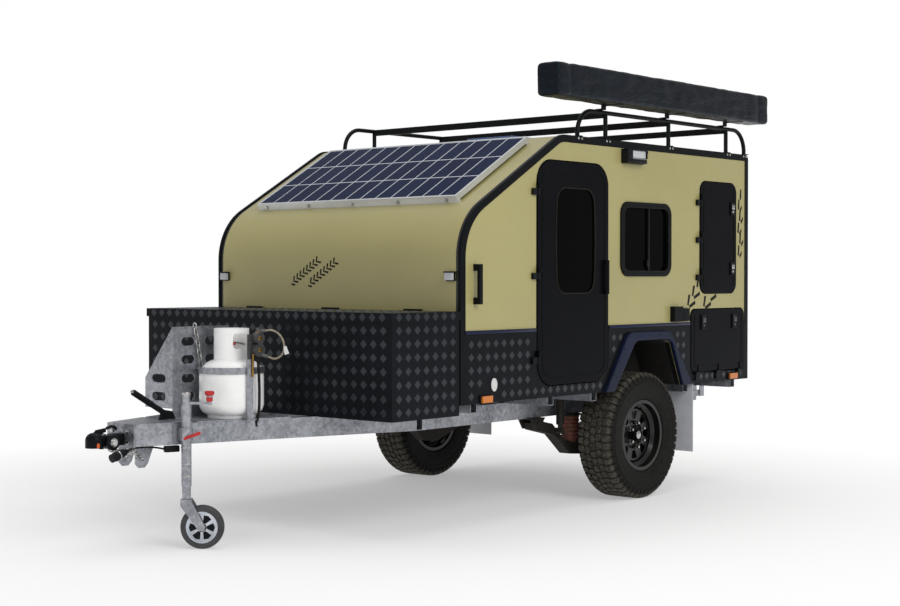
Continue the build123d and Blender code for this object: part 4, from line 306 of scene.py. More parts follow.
def makeVinyl():
    material, tree, shader, place = newMaterial("bagVinyl")
    patches = noise(tree, place, 5, 4.0, 0.6)
    worn = spread(tree, patches, 0, 1, 0.4, 0.7)
    threads = vinylLook["weave"] * 2 * math.pi / 3
    waves = [calc(tree, "SINE", calc(tree, "MULTIPLY", part, threads)) for part in axes(tree, place)]
    weave = calc(tree, "MULTIPLY", calc(tree, "MULTIPLY", waves[0], waves[1]), waves[2])
    folds = noise(tree, stretched(tree, place, (14, 5, 22)), 1, 4.0)
    setShader(tree, shader, {
        "Base Color": mixColour(tree, worn, tint(*vinylLook["colour"]), tint(*vinylLook["worn"])),
        "Roughness": spread(tree, patches, 0.28, 0.42),
        "Specular IOR Level": 0.2,
        # the reflections are tinted blue: a painted reflection of sky
        "Specular Tint": (0.5, 0.72, 1, 1),
        "Normal": relief(tree, folds, 0.016, 0.9, relief(tree, weave, 0.00015, 0.6)),
    })
    return material


# Solar laminate: square navy cells with cut corners on a white sheet, under glass
cellLook = {"columns": 13, "rows": 3, "bars": 5, "gap": 0.007, "corner": 0.008, "navy": (16, 27, 56),
            "blue": (21, 33, 63), "wire": (150, 156, 168), "sheet": (196, 200, 206)}


def makeSolar(low, slopeTurn, width, length):
    material, tree, shader, place = newMaterial("solarCells")
    level = addNode(tree, "Mapping", {"Location": low, "Rotation": (slopeTurn, 0, 0)}, vector_type="TEXTURE")
    tree.links.new(place, level.inputs["Vector"])
    parts = axes(tree, level.outputs[0])
    reaches, cells = [], []
    for part, span, count in ((parts[0], width, cellLook["columns"]), (parts[1], length, cellLook["rows"])):
        pitch = span / count
        along = calc(tree, "DIVIDE", part, pitch)
        cells.append(calc(tree, "FLOOR", along))
        within = calc(tree, "MULTIPLY", calc(tree, "FRACT", along), pitch)
        reaches.append(calc(tree, "MINIMUM", within, calc(tree, "SUBTRACT", pitch, within)))
    offEdge = calc(tree, "GREATER_THAN", calc(tree, "MINIMUM", *reaches), cellLook["gap"] / 2)
    offCorner = calc(tree, "GREATER_THAN", calc(tree, "ADD", *reaches), cellLook["corner"])
    bars = calc(tree, "FRACT", calc(tree, "DIVIDE", parts[0], width / cellLook["columns"] / cellLook["bars"]))
    wire = calc(tree, "LESS_THAN", calc(tree, "ABSOLUTE", calc(tree, "SUBTRACT", bars, 0.5)), 0.03)
    number = addNode(tree, "CombineXYZ")
    tree.links.new(cells[0], number.inputs[0])
    tree.links.new(cells[1], number.inputs[1])
    cellTone = addNode(tree, "TexWhiteNoise", noise_dimensions="3D")
    tree.links.new(number.outputs[0], cellTone.inputs["Vector"])
    navy = mixColour(tree, cellTone.outputs["Value"], tint(*cellLook["navy"]), tint(*cellLook["blue"]))
    navy = mixColour(tree, calc(tree, "MULTIPLY", wire, 0.12), navy, tint(*cellLook["wire"]))
    inCell = calc(tree, "MULTIPLY", offEdge, offCorner)
    setShader(tree, shader, {
        "Base Color": mixColour(tree, inCell, tint(*cellLook["sheet"]), navy),
        "Roughness": spread(tree, noise(tree, place, 8, 4.0), 0.16, 0.26),
        "Specular IOR Level": 0.02,
        "Normal": relief(tree, noise(tree, place, 180, 2.0), 0.00005),
    })
    return material


# Glass and lenses: a colour, how much light passes, and ribs for a lens
lensLook = {
    "darkGlass": dict(colour=(4, 4, 5), passing=0.0, gloss=0.06, ribs=0, shine=0.03, coat=0.0),
    "domeBlue": dict(colour=(66, 98, 152), passing=0.15, gloss=0.1, ribs=0),
    "amberLens": dict(colour=(238, 132, 14), passing=0.15, gloss=0.18, ribs=160),
    "redLens": dict(colour=(176, 18, 16), passing=0.12, gloss=0.18, ribs=160),
    "whiteLens": dict(colour=(228, 231, 234), passing=0.25, gloss=0.12, ribs=160),
}


def makeLens(name):
    look = lensLook[name]
    material, tree, shader, place = newMaterial(name)
    patches = noise(tree, place, 3, 3.0)
    dark = tuple(0.82 * channel for channel in look["colour"])
    if look["ribs"]:
        wave = calc(tree, "SINE", calc(tree, "MULTIPLY", axes(tree, place)[2], look["ribs"] * math.pi))
        surface = relief(tree, calc(tree, "ABSOLUTE", wave), 0.0012)
    else:
        surface = relief(tree, noise(tree, place, 2.2, 2.0), 0.0006)
    setShader(tree, shader, {
        "Base Color": mixColour(tree, patches, tint(*look["colour"]), tint(*dark)),
        "Roughness": spread(tree, patches, look["gloss"], look["gloss"] + 0.06),
        "Transmission Weight": look["passing"],
        "Coat Weight": look.get("coat", 0.4),
        "Specular IOR Level": look.get("shine", 0.5),
        "Normal": surface,
    })
    return material


slope = math.radians(30)
solarLow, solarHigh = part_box("solar_cells")
solarWidth = solarHigh.x - solarLow.x
solarLength = (solarHigh.y - solarLow.y) / math.cos(slope)
materials["galvanised"] = makeGalvanised()
wheelCentre = sum(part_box("tyre_left"), Vector()) / 2
materials["treadRubber"] = makeRubber("treadRubber", 0.6, wheelCentre)
materials["softRubber"] = makeRubber("softRubber", 0.12)
materials["bagVinyl"] = makeVinyl()
materials["solarCells"] = makeSolar(solarLow, slope, solarWidth, solarLength)
for lens in lensLook:
    materials[lens] = makeLens(lens)
print("finishes made:", len(materials))

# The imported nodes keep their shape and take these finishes
nodeFinish = {
    "oliveSide": ("side_wall_left", "side_wall_right"),
    "oliveSkin": ("front_panel", "rear_panel", "roof_panel"),
    "mouldingBlack": ("edge_mouldings", "window_frames", "side_fittings", "roof_hatch_frame"),
    "doorBlack": ("entry_door_left", "entry_door_right", "pantry_hatch", "kitchen_hatch"),
    "plasticBlack": ("hinge_posts", "handbrake_lever"),
    "flareBlack": ("wheel_flares",),
    "chequerBlack": ("lower_cladding", "toolbox", "toolbox_lid"),
    "powderBlack": ("rack_rails", "rack_posts", "rack_bars", "awning_brackets", "coupling"),
    "underBlack": ("floor_panel", "wheel_boxes", "suspension_brackets", "trailing_arms"),
    "galvanised": ("chassis_rails", "cross_members", "drawbar_rails", "drawbar_head", "gas_carrier",
                   "bottle_band", "jockey_clamp", "jockey_tube", "jockey_inner_tube", "jockey_fork",
                   "stabiliser_left", "stabiliser_right"),
    "anodised": ("solar_frame",),
    "solarCells": ("solar_cells",),
    "darkGlass": ("window_glass", "door_glass_left", "door_glass_right"),
    "domeBlue": ("roof_hatch_lid",),
    "wheelBlack": ("rim_left", "rim_right"),
    "treadRubber": ("tyre_left", "tyre_right"),
    "bagVinyl": ("awning_bag",),
    "bottleWhite": ("gas_bottle",),
    "regulatorGrey": ("gas_regulator",),
    "softRubber": ("gas_hose",),
    "greyRubber": ("jockey_wheel",),
    "flapGrey": ("mudflaps",),
    "springRed": ("coil_springs",),
    "amberLens": ("marker_lamps",),
    "redLens": ("tail_lamps",),
    "whiteLens": ("white_lamps",),
}
for finish, names in nodeFinish.items():
    for name in names:
        node = nodes[name]
        node.data.materials.clear()
        node.data.materials.append(materials[finish])


# Modelling steps. Each takes a piece and leaves it at the origin, unturned and unscaled
def pick(*pieces):
    bpy.ops.object.select_all(action="DESELECT")
    for piece in pieces:
        piece.select_set(True)
    bpy.context.view_layer.objects.active = pieces[0]


def settle(piece):
    pick(piece)
    bpy.ops.object.transform_apply(location=True, rotation=True, scale=True)
    return piece


def startEdit(piece, kind="VERT"):
    pick(piece)
    bpy.ops.object.mode_set(mode="EDIT")
    bpy.ops.mesh.select_mode(type=kind)
    bpy.ops.mesh.select_all(action="SELECT")


def endEdit():
    bpy.ops.object.mode_set(mode="OBJECT")


def chooseFaces(piece, test):
    bpy.ops.mesh.select_mode(type="FACE")
    bpy.ops.mesh.select_all(action="DESELECT")
    bpy.ops.object.mode_set(mode="OBJECT")
    for face in piece.data.polygons:
        face.select = test(face.center, face.normal)
    bpy.ops.object.mode_set(mode="EDIT")


def bevelFaces(piece, test, width, steps=2):
    startEdit(piece, "FACE")
    chooseFaces(piece, test)
    bpy.ops.mesh.bevel(offset=width, segments=steps, affect="EDGES")
    endEdit()


def added(operator, **settings):
    bpy.ops.object.select_all(action="DESELECT")
    operator(**settings)
    return bpy.context.active_object


def moved(piece, change):
    piece.matrix_world = change
    return settle(piece)


def block(low, high, bevel=0.0):
    middle = [(a + b) / 2 for a, b in zip(low, high)]
    piece = added(bpy.ops.mesh.primitive_cube_add, size=1, location=middle)
    piece.scale = [abs(b - a) for a, b in zip(low, high)]
    settle(piece)
    if bevel:
        startEdit(piece)
        bpy.ops.mesh.bevel(offset=bevel, segments=2, affect="EDGES")
        endEdit()
    return piece


# A block on a side wall: how far it reaches out of the skin, where along, and how high
def sideBlock(side, reach, span, heights, bevel):
    low, high = (at(side * (skinX + reach[end]), span[end], heights[end]) for end in (0, 1))
    return block(low, high, bevel)


def rod(start, end, radius, sides=20, bevel=0.0):
    start, end = Vector(start), Vector(end)
    along = (end - start).normalized()
    piece = added(bpy.ops.mesh.primitive_cylinder_add, vertices=sides, radius=radius,
                  depth=(end - start).length, location=(start + end) / 2)
    piece.rotation_euler = along.to_track_quat("Z", "Y").to_euler()
    settle(piece)
    if bevel:
        bevelFaces(piece, lambda centre, normal: abs(normal.dot(along)) > 0.9, bevel)
    return piece


# A line of joined points, each drawn out of the one before
def drawn(points):
    piece = settle(added(bpy.ops.mesh.primitive_plane_add, size=0.01, location=points[0]))
    startEdit(piece)
    bpy.ops.mesh.merge(type="CENTER")
    for before, after in zip(points, points[1:]):
        step = Vector(after) - Vector(before)
        bpy.ops.mesh.extrude_region_move(TRANSFORM_OT_translate={"value": step})
    endEdit()
    return piece


# A section of (radius, along) points spun about an axis through a centre
def spun(section, centre, axis=(1, 0, 0), steps=32):
    piece = drawn([(radius, 0, along) for radius, along in section])
    startEdit(piece)
    bpy.ops.mesh.spin(steps=steps, angle=2 * math.pi, center=(0, 0, 0), axis=(0, 0, 1))
    bpy.ops.mesh.select_all(action="SELECT")
    bpy.ops.mesh.remove_doubles(threshold=0.00004)
    endEdit()
    piece.rotation_euler = Vector(axis).to_track_quat("Z", "Y").to_euler()
    piece.location = centre
    return settle(piece)


def plate(points, push, bevel=0.0):
    piece = drawn(points)
    startEdit(piece)
    bpy.ops.mesh.edge_face_add()
    bpy.ops.mesh.select_all(action="SELECT")
    bpy.ops.mesh.extrude_region_move(TRANSFORM_OT_translate={"value": push})
    bpy.ops.mesh.select_all(action="SELECT")
    bpy.ops.mesh.normals_make_consistent(inside=False)
    if bevel:
        bpy.ops.mesh.bevel(offset=bevel, segments=2, affect="EDGES")
    endEdit()
    return piece


def tube(points, radius, closed=False, detail=2):
    path = bpy.data.curves.new("path", "CURVE")
    path.dimensions = "3D"
    path.bevel_depth = radius
    path.bevel_resolution = detail
    path.use_fill_caps = not closed
    line = path.splines.new("POLY")
    line.points.add(len(points) - 1)
    for point, place in zip(line.points, points):
        point.co = (*place, 1)
    line.use_cyclic_u = closed
    piece = bpy.data.objects.new("path", path)
    bpy.context.scene.collection.objects.link(piece)
    pick(piece)
    bpy.ops.object.convert(target="MESH")
    return bpy.context.active_object


def mirrored(piece):
    pick(piece)
    bpy.ops.object.duplicate(linked=False)
    return moved(bpy.context.active_object, Matrix.Diagonal((-1, 1, 1, 1)))


# A cord's given points with a smooth line through them, tubed, named and given its finish
def cord(name, radius, route, finish="softRubber", stands=()):
    ends = [route[0] * 2 - route[1], *route, route[-1] * 2 - route[-2]]
    points = []
    for before, start, end, after in zip(ends, ends[1:], ends[2:], ends[3:]):
        bend = 2 * before - 5 * start + 4 * end - after
        twist = 3 * start - before - 3 * end + after
        for step in range(6):
            share = step / 6
            points.append(0.5 * (2 * start + (end - before) * share + bend * share ** 2 + twist * share ** 3))
    points.append(route[-1])
    piece = dress(tube(points, radius, False, 3), name, finish, "chassis", stands, 60)


def joined(pieces):
    pick(*pieces)
    bpy.ops.object.join()
    return bpy.context.active_object


def arrayed(piece, count, **settings):
    pick(piece)
    bpy.ops.object.modifier_add(type="ARRAY")
    array = piece.modifiers[-1]
    array.count = count
    array.use_relative_offset = False
    for key, value in settings.items():
        setattr(array, key, value)
    bpy.ops.object.modifier_apply(modifier=array.name)
    return piece


def row(piece, count, step):
    return arrayed(piece, count, use_constant_offset=True, constant_offset_displace=step)


# Copies round a wheel's axle
def around(piece, count, centre):
    guide = added(bpy.ops.object.empty_add)
    centre = Vector(centre)
    turn = Matrix.Rotation(2 * math.pi / count, 4, "X")
    guide.matrix_world = Matrix.Translation(centre) @ turn @ Matrix.Translation(-centre)
    bpy.context.view_layer.update()
    arrayed(piece, count, use_object_offset=True, offset_object=guide)
    bpy.data.objects.remove(guide)
    return piece


# Points round a rounded opening in a side wall, set in from its edge, with the bow of a barrel-shaped one
def opening(leaf, inset, corner, x, bow=0.0):
    front, rear = leaf["front"] + inset, leaf["rear"] - inset
    bottom, top = leaf["bottom"] + inset, leaf["top"] - inset
    middle, half = (bottom + top) / 2, (top - bottom) / 2
    corners = ((rear - corner, top - corner), (front + corner, top - corner),
               (front + corner, bottom + corner), (rear - corner, bottom + corner))
    points = []
    for quarter, (distance, height) in enumerate(corners):
        for step in range(6):
            angle = math.radians(90 * quarter + 18 * step)
            points.append((distance + corner * math.cos(angle), height + corner * math.sin(angle)))
        if quarter % 2:
            side, start = points[-1]
            for share in (0.25, 0.5, 0.75):
                points.append((side, start + share * 2 * (middle - start)))
    placed = []
    for distance, height in points:
        toward = 1 if distance < (front + rear) / 2 else -1
        placed.append(at(x, distance + toward * bow * ((height - middle) / half) ** 2, height))
    return placed


def dress(piece, name, finish, body="chassis", stands=(), smooth=35):
    piece.name = name
    piece.data.name = name
    startEdit(piece)
    bpy.ops.mesh.normals_make_consistent(inside=False)
    endEdit()
    bpy.ops.object.shade_smooth_by_angle(angle=math.radians(smooth))
    piece.data.materials.clear()
    piece.data.materials.append(materials[finish])
    if stands:
        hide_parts(*stands)
    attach(piece, body)
    return piece


sides = ((1, "left"), (-1, "right"))

# Tyres: three columns of blocks, two rows of shoulder blocks that run down the walls, and a raised ring
# columns gives where each row of blocks lies and by what share of the pitch it is turned
tyreLook = {"blocks": 50, "columns": ((-0.0405, 0.0), (0.0, 0.5), (0.0405, 0.3)), "blockHalf": (0.0178, 0.0195),
            "flat": 0.924, "base": 0.3560, "sink": 0.003, "top": 0.3663, "bevel": 0.0016, "steps": 100}
tyreWall = ((0.1910, 0.0900), (0.2048, 0.0903), (0.2110, 0.0960), (0.2122, 0.1012), (0.2180, 0.1030),
            (0.2460, 0.1105), (0.2700, 0.1142), (0.2860, 0.1155), (0.2960, 0.1158), (0.2980, 0.1174),
            (0.3040, 0.1174), (0.3060, 0.1155), (0.3180, 0.1135), (0.3300, 0.1090), (0.3430, 0.1020),
            (0.3520, 0.0960), (0.3560, 0.0880))
shoulder = ((0.0630, 0.3540), (0.0638, 0.3663), (0.0925, 0.3658), (0.1030, 0.3590), (0.1120, 0.3400),
            (0.1160, 0.3190), (0.1125, 0.3160), (0.0980, 0.3440), (0.0900, 0.3530))


def makeTyre():
    section = [*tyreWall, (tyreLook["base"], 0)]
    section += [(radius, -reach) for radius, reach in reversed(tyreWall)] + [tyreWall[0]]
    parts = [spun(section, (0, 0, 0), (1, 0, 0), tyreLook["steps"])]
    pitch = 2 * math.pi / tyreLook["blocks"]
    base, top = tyreLook["base"] - tyreLook["sink"], tyreLook["top"]
    across, along = (half / tyreLook["flat"] for half in tyreLook["blockHalf"])
    for column, phase in tyreLook["columns"]:
        lug = settle(added(bpy.ops.mesh.primitive_cylinder_add, vertices=8, radius=1, depth=top - base,
                           location=(column, 0, (top + base) / 2), rotation=(0, 0, math.radians(22.5))))
        startEdit(lug)
        bpy.ops.transform.resize(value=(across, along, 1), center_override=(column, 0, 0))
        endEdit()
        bevelFaces(lug, lambda centre, normal: normal.z > 0.9, tyreLook["bevel"], 1)
        moved(lug, Matrix.Rotation(pitch * phase, 4, "X"))
        parts.append(around(lug, tyreLook["blocks"], (0, 0, 0)))
    for side, phase in ((1, 0.35), (-1, 0.8)):
        lug = plate([(side * x, -0.0165, z) for x, z in shoulder], (0, 0.033, 0), tyreLook["bevel"])
        moved(lug, Matrix.Rotation(pitch * phase, 4, "X"))
        parts.append(around(lug, tyreLook["blocks"], (0, 0, 0)))
    return joined(parts)


tyre = moved(makeTyre(), Matrix.Translation(wheelCentre))
tyreRight = mirrored(tyre)
dress(tyre, "tyreLeftTread", "treadRubber", "wheel_left", ["tyre_left"], 40)
dress(tyreRight, "tyreRightTread", "treadRubber", "wheel_right", ["tyre_right"], 40)
print("tyres made")

# Wheels: six nuts on long studs, a cap in a black ring, and a brass valve
wheelLook = {"nuts": 6, "circle": 0.0699, "nutStart": 0.034, "valve": 0.157}


def onWheel(reach, radius=0.0, angle=0.0):
    turn = math.radians(angle)
    return wheelCentre + Vector((reach, radius * math.cos(turn), radius * math.sin(turn)))


nutBase = onWheel(wheelLook["nutStart"], wheelLook["circle"], 90)
nut = rod(nutBase, nutBase + Vector((0.024, 0, 0)), 0.0125, 6, 0.0015)
stud = spun(((0.0075, 0.0), (0.0095, 0.002), (0.0095, 0.012), (0.0075, 0.017), (0.0, 0.019)),
            nutBase + Vector((0.023, 0, 0)), (1, 0, 0), 20)
nuts = around(joined([nut, stud]), wheelLook["nuts"], wheelCentre)
cap = spun(((0.0, 0.012), (0.010, 0.0118), (0.019, 0.0095), (0.0235, 0.006), (0.0245, -0.004)),
           onWheel(0.066), (1, 0, 0), 32)
capRing = spun(((0.0248, -0.002), (0.0250, 0.007), (0.0275, 0.0095), (0.0310, 0.008), (0.0335, 0.002),
                (0.0345, -0.012)), onWheel(0.066), (1, 0, 0), 40)
valve = rod(onWheel(0.034, wheelLook["valve"], 62), onWheel(0.062, wheelLook["valve"] - 0.004, 62),
            0.0035, 12, 0.001)
for piece, name, finish in ((joined([nuts, cap]), "NutsAndCap", "brightSteel"),
                            (capRing, "CapRing", "powderBlack"), (valve, "Valve", "brassMetal")):
    twin = mirrored(piece)
    dress(piece, "wheelLeft" + name, finish, "wheel_left")
    dress(twin, "wheelRight" + name, finish, "wheel_right")
print("wheels dressed")

# Chequer sheet: raised lozenges on a square pitch
sheetLook = {"pitch": 0.066, "half": (0.0245, 0.0240), "rise": 0.0030, "top": 0.86}
reflector, marker, tailMarker = (0.2565, 0.7325), (0.149, 0.645), (2.574, 0.650)
door = {"front": 0.623, "rear": 1.275, "bottom": 0.705, "top": 1.912, "corner": 0.12}
doorGlass = {"front": 0.784, "rear": 1.144, "bottom": 1.196, "top": 1.770}
window = {"front": 1.396, "rear": 1.917, "bottom": 1.289, "top": 1.716}
pantry = {"front": 2.244, "rear": 2.666, "bottom": 1.187, "top": 1.867, "corner": 0.06}
kitchen = {"front": 2.140, "rear": 2.764, "bottom": 0.707, "top": 1.088, "corner": 0.04}
flare = {"front": (1.232, 1.457), "rear": (1.887, 2.128), "bottom": 0.641, "top": 0.969}


def inside(leaf, distance, height, margin):
    return (leaf["front"] - margin < distance < leaf["rear"] + margin
            and leaf["bottom"] - margin < height < leaf["top"] + margin)


def onArch(distance, height):
    share = (height - flare["bottom"]) / (flare["top"] - flare["bottom"])
    front = flare["front"][0] + share * (flare["front"][1] - flare["front"][0])
    rear = flare["rear"][1] + share * (flare["rear"][0] - flare["rear"][1])
    return front - 0.028 < distance < rear + 0.028 and height < flare["top"] + 0.028


def lozenges(name, corner, across, upward, counts, keep=None, body="chassis"):
    across, upward = Vector(across), Vector(upward)
    outward = across.cross(upward)
    piece = added(bpy.ops.mesh.primitive_cone_add, vertices=4, radius1=1, radius2=sheetLook["top"], depth=1)
    turn = Matrix((across, upward, outward)).transposed().to_4x4()
    size = Matrix.Diagonal((*sheetLook["half"], sheetLook["rise"], 1))
    moved(piece, Matrix.Translation(corner) @ turn @ size)
    row(piece, counts[0], across * sheetLook["pitch"])
    row(piece, counts[1], upward * sheetLook["pitch"])
    if keep:
        startEdit(piece)
        bpy.ops.mesh.select_all(action="DESELECT")
        endEdit()
        points = piece.data.vertices
        for start in range(0, len(points), 8):
            middle = sum((points[start + step].co for step in range(8)), Vector()) / 8
            for step in range(8):
                points[start + step].select = not keep(middle.y - cabinFront, middle.z - ground)
        bpy.ops.object.mode_set(mode="EDIT")
        bpy.ops.mesh.delete(type="VERT")
        endEdit()
    return dress(piece, name, "chequerRaisedHighlight", body, smooth=10)


def nearLamp(distance, height):
    besideReflector = abs(distance - reflector[0]) < 0.052 and height < 0.78
    besideMarker = abs(distance - marker[0] - 0.044) < 0.07 and height < 0.70
    return besideReflector or besideMarker


def kerbKeep(distance, height):
    return not (inside(door, distance, height, 0.023) or inside(kitchen, distance, height, 0.026)
                or onArch(distance, height) or nearLamp(distance, height)
                or (0.565 < distance < 0.60 and 0.82 < height < 0.90))


def farKeep(distance, height):
    return not (inside(door, distance, height, 0.023) or onArch(distance, height) or nearLamp(distance, height))


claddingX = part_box("lower_cladding")[1].x - 0.003
lozenges("claddingLeftLozenges", at(claddingX, 0.078, 0.680), (0, 1, 0), (0, 0, 1), (41, 5), kerbKeep)
lozenges("claddingRightLozenges", at(-claddingX, 2.729, 0.680), (0, -1, 0), (0, 0, 1), (41, 5), farKeep)
boxLow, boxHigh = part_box("toolbox")
lidLow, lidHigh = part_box("toolbox_lid")
lidTop = up(1.114)
skirt = (lidLow.z + lidTop) / 2
rowStart = -0.858
bottom = up(0.632)
lozenges("boxFrontLozenges", (rowStart, boxLow.y, bottom), (1, 0, 0), (0, 0, 1), (27, 7))
lozenges("boxLeftLozenges", (boxHigh.x, boxLow.y + 0.050, bottom), (0, 1, 0), (0, 0, 1), (7, 7))
lozenges("boxRightLozenges", (boxLow.x, boxHigh.y - 0.050, bottom), (0, -1, 0), (0, 0, 1), (7, 7))
for name, corner, across, upward, counts in (
        ("Top", (rowStart, lidLow.y + 0.045, lidTop), (1, 0, 0), (0, 1, 0), (27, 6)),
        ("Front", (rowStart, lidLow.y, skirt), (1, 0, 0), (0, 0, 1), (27, 1)),
        ("Left", (lidHigh.x, lidLow.y + 0.050, skirt), (0, 1, 0), (0, 0, 1), (7, 1)),
        ("Right", (lidLow.x, lidLow.y + 0.446, skirt), (0, -1, 0), (0, 0, 1), (7, 1))):
    lozenges("lid" + name + "Lozenges", corner, across, upward, counts, None, "box_lid")

# Belt line: a navy strip along the top of the sheet, under a thin lip of the skin
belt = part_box("lower_cladding")[1].z - ground
strips, lips = [], []
for side, beltEnd in ((1, kitchen["front"] - 0.012), (-1, 2.760)):
    for span in ((0.030, door["front"] - 0.012), (door["rear"] + 0.012, beltEnd)):
        strips.append(sideBlock(side, (0, 0.0075), span, (belt - 0.017, belt), 0.0015))
        lips.append(sideBlock(side, (0, 0.003), span, (belt, belt + 0.007), 0.001))
dress(joined(strips), "beltStrips", "trimNavy")
dress(joined(lips), "beltLips", "oliveSkin")
print("chequer sheet made")

# Doors and hatches: pressed lines, glass seals, locks and latches
leafLook = {"line": 0.0022, "doorInset": 0.040, "hatchInset": 0.036, "seal": 0.0045}
leafX = skinX + 0.006
doorRim = opening(door, leafLook["doorInset"], 0.085, leafX)
doorSeal = opening(doorGlass, 0, 0.070, leafX, 0.014)
for side, hand in sides:
    lines = tube([(side * x, y, z) for x, y, z in doorRim], leafLook["line"], True)
    seal = tube([(side * x, y, z) for x, y, z in doorSeal], leafLook["seal"], True)
    dress(lines, "door" + hand.title() + "Line", "doorBlack", "door_" + hand)
    dress(seal, "door" + hand.title() + "GlassSeal", "softRubber", "door_" + hand)
    lock = spun(((0.0, 0.004), (0.003, 0.004), (0.0035, 0.0028), (0.009, 0.004), (0.0115, 0.002), (0.012, 0.0)),
                at(side * (leafX + 0.0145), door["rear"] - 0.036, 1.206), (side, 0, 0), 24)
    dress(lock, "door" + hand.title() + "Lock", "brightSteel", "door_" + hand)
    inner = tube(opening(window, 0.030, 0.046, side * (skinX + 0.008)), 0.0035, True)
    outer = tube(opening(window, 0.010, 0.062, side * (skinX + 0.0085)), 0.0022, True)
    dress(joined([inner, outer]), "window" + hand.title() + "Rubber", "softRubber")
    slider = sideBlock(side, (-0.004, 0.003), (1.680, 1.694), (1.322, 1.683), 0.0015)
    grip = sideBlock(side, (-0.002, 0.006), (1.664, 1.682), (1.345, 1.385), 0.003)
    dress(joined([slider, grip]), "window" + hand.title() + "Slider", "plasticBlack")

# rows: name, outline, body, where each latch sits, half its width and height, and the metal
hatchRows = (("pantry", pantry, "pantry_door", ((2.612, 1.710), (2.612, 1.338)), (0.023, 0.038), "brightSteel"),
             ("kitchen", kitchen, "kitchen_door", ((2.275, 1.010), (2.638, 1.010)), (0.027, 0.043),
              "regulatorGrey"))
for name, leaf, body, latches, half, metal in hatchRows:
    inset = leafLook["hatchInset"]
    rim = opening(leaf, inset, max(leaf["corner"] - inset, 0.014), leafX)
    dress(tube(rim, leafLook["line"], True), name + "Line", "doorBlack", body)
    pans, locks = [], []
    for distance, height in latches:
        x, y, z = at(leafX + 0.005, distance, height)
        wide, tall = half
        pan = block((x - 0.002, y - wide, z - tall), (x + 0.004, y + wide, z + tall), 0.003)
        startEdit(pan, "FACE")
        chooseFaces(pan, lambda centre, normal: normal.x > 0.95)
        bpy.ops.mesh.inset(thickness=0.005, depth=-0.003)
        endEdit()
        pans.append(pan)
        locks.append(block((x, y - wide * 0.62, z - tall * 0.10), (x + 0.008, y + wide * 0.62, z + tall * 0.66),
                           0.003))
        locks.append(spun(((0.0, 0.003), (0.004, 0.003), (0.0075, 0.004), (0.0095, 0.001), (0.0098, -0.004)),
                          (x + 0.003, y, z - tall * 0.5), (1, 0, 0), 20))
    dress(joined(pans), name + "LatchPans", "plasticBlack", body)
    dress(joined(locks), name + "LatchPaddles", metal, body)
print("doors and hatches dressed")

# Marks of two tyres that run up across the front and the kerb side, as painted on
trackLook = {"thickness": 0.0005, "start": (-0.323, 1.256), "step": (0.0253, 0.0153), "count": 9,
             "gap": (0.132, -0.008)}
frontShort = ((-0.002, -0.012), (0.006, -0.013), (0.013, 0.020), (0.001, 0.020))
frontLong = ((0.008, -0.013), (0.036, -0.019), (0.040, -0.008), (0.009, -0.005))
marks = []
for track in range(2):
    for step in range(trackLook["count"]):
        x, height = (start + step * pace + track * gap for start, pace, gap in
                     zip(trackLook["start"], trackLook["step"], trackLook["gap"]))
        for stroke in (frontShort, frontLong) if step else (frontLong,):
            marks.append(plate([at(x + a, -trackLook["thickness"], height + b) for a, b in stroke],
                               (0, trackLook["thickness"], 0)))
dress(joined(marks), "frontTyreMarks", "markBlack")
marks = []
# columns: distance aft, height, and whether the long and the short stroke show
for distance, height, tall, short in (
        (2.103, 1.118, True, True), (2.155, 1.172, True, True), (2.206, 1.226, True, False),
        (2.283, 1.108, True, True), (2.345, 1.156, False, True), (2.690, 1.424, True, True),
        (2.708, 1.498, True, True), (2.686, 1.566, True, True), (2.704, 1.640, True, True),
        (2.690, 1.712, True, True), (2.712, 1.776, True, False)):
    strokes = []
    narrow = 0.5 if distance > pantry["rear"] else 1.0
    if tall:
        strokes.append(((0, 0), (0.018, -0.005), (0.010 + 0.026 * narrow, 0.060), (0.014 * narrow, 0.062)))
    if short:
        reach = 0.008 + 0.082 * narrow
        strokes.append(((0.022, -0.004), (0.028, -0.022), (reach + 0.003 * narrow, 0.004), (reach, 0.026)))
    for stroke in strokes:
        marks.append(plate([at(skinX, distance + a, height + b) for a, b in stroke],
                           (trackLook["thickness"], 0, 0)))
dress(joined(marks), "sideTyreMarks", "markBlack")
print("marks made")

# Lamps: housings round the lenses, a reflector, and the segments of the tail lamps
lampLook = {"frontX": 0.850, "tailX": 0.790, "flood": (1.410, 1.600), "floodBottom": 1.942, "floodTop": 2.008}
tailFront, tailRear = (corner.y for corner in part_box("tail_lamps"))
shells = []
for side in (1, -1):
    x = side * lampLook["frontX"]
    shells.append(block(at(x - 0.029, -0.010, 1.265), at(x + 0.029, 0, 1.315), 0.003))
    shells.append(block(at(x - 0.029, -0.033, 1.308), at(x + 0.029, 0, 1.315), 0.002))
    for distance, height in (marker, tailMarker):
        shells.append(sideBlock(side, (0.003, 0.011), (distance - 0.006, distance + 0.094),
                                (height - 0.005, height + 0.039), 0.002))
    x = side * lampLook["tailX"]
    shells.append(block((x - 0.061, tailFront, up(0.854)), (x + 0.061, tailFront + 0.014, up(1.166)), 0.005))
dress(joined(shells), "lampHousings", "plasticBlack")

top, bottom = lampLook["floodTop"], lampLook["floodBottom"]
start, end = lampLook["flood"]
hood = ((0, top + 0.006), (0.050, top + 0.002), (0.050, top - 0.014), (0.024, bottom - 0.006),
        (0, bottom - 0.010))
cheeks = [plate([at(skinX + reach, distance, height) for reach, height in hood], (0, 0.009, 0), 0.002)
          for distance in (start - 0.006, end - 0.003)]
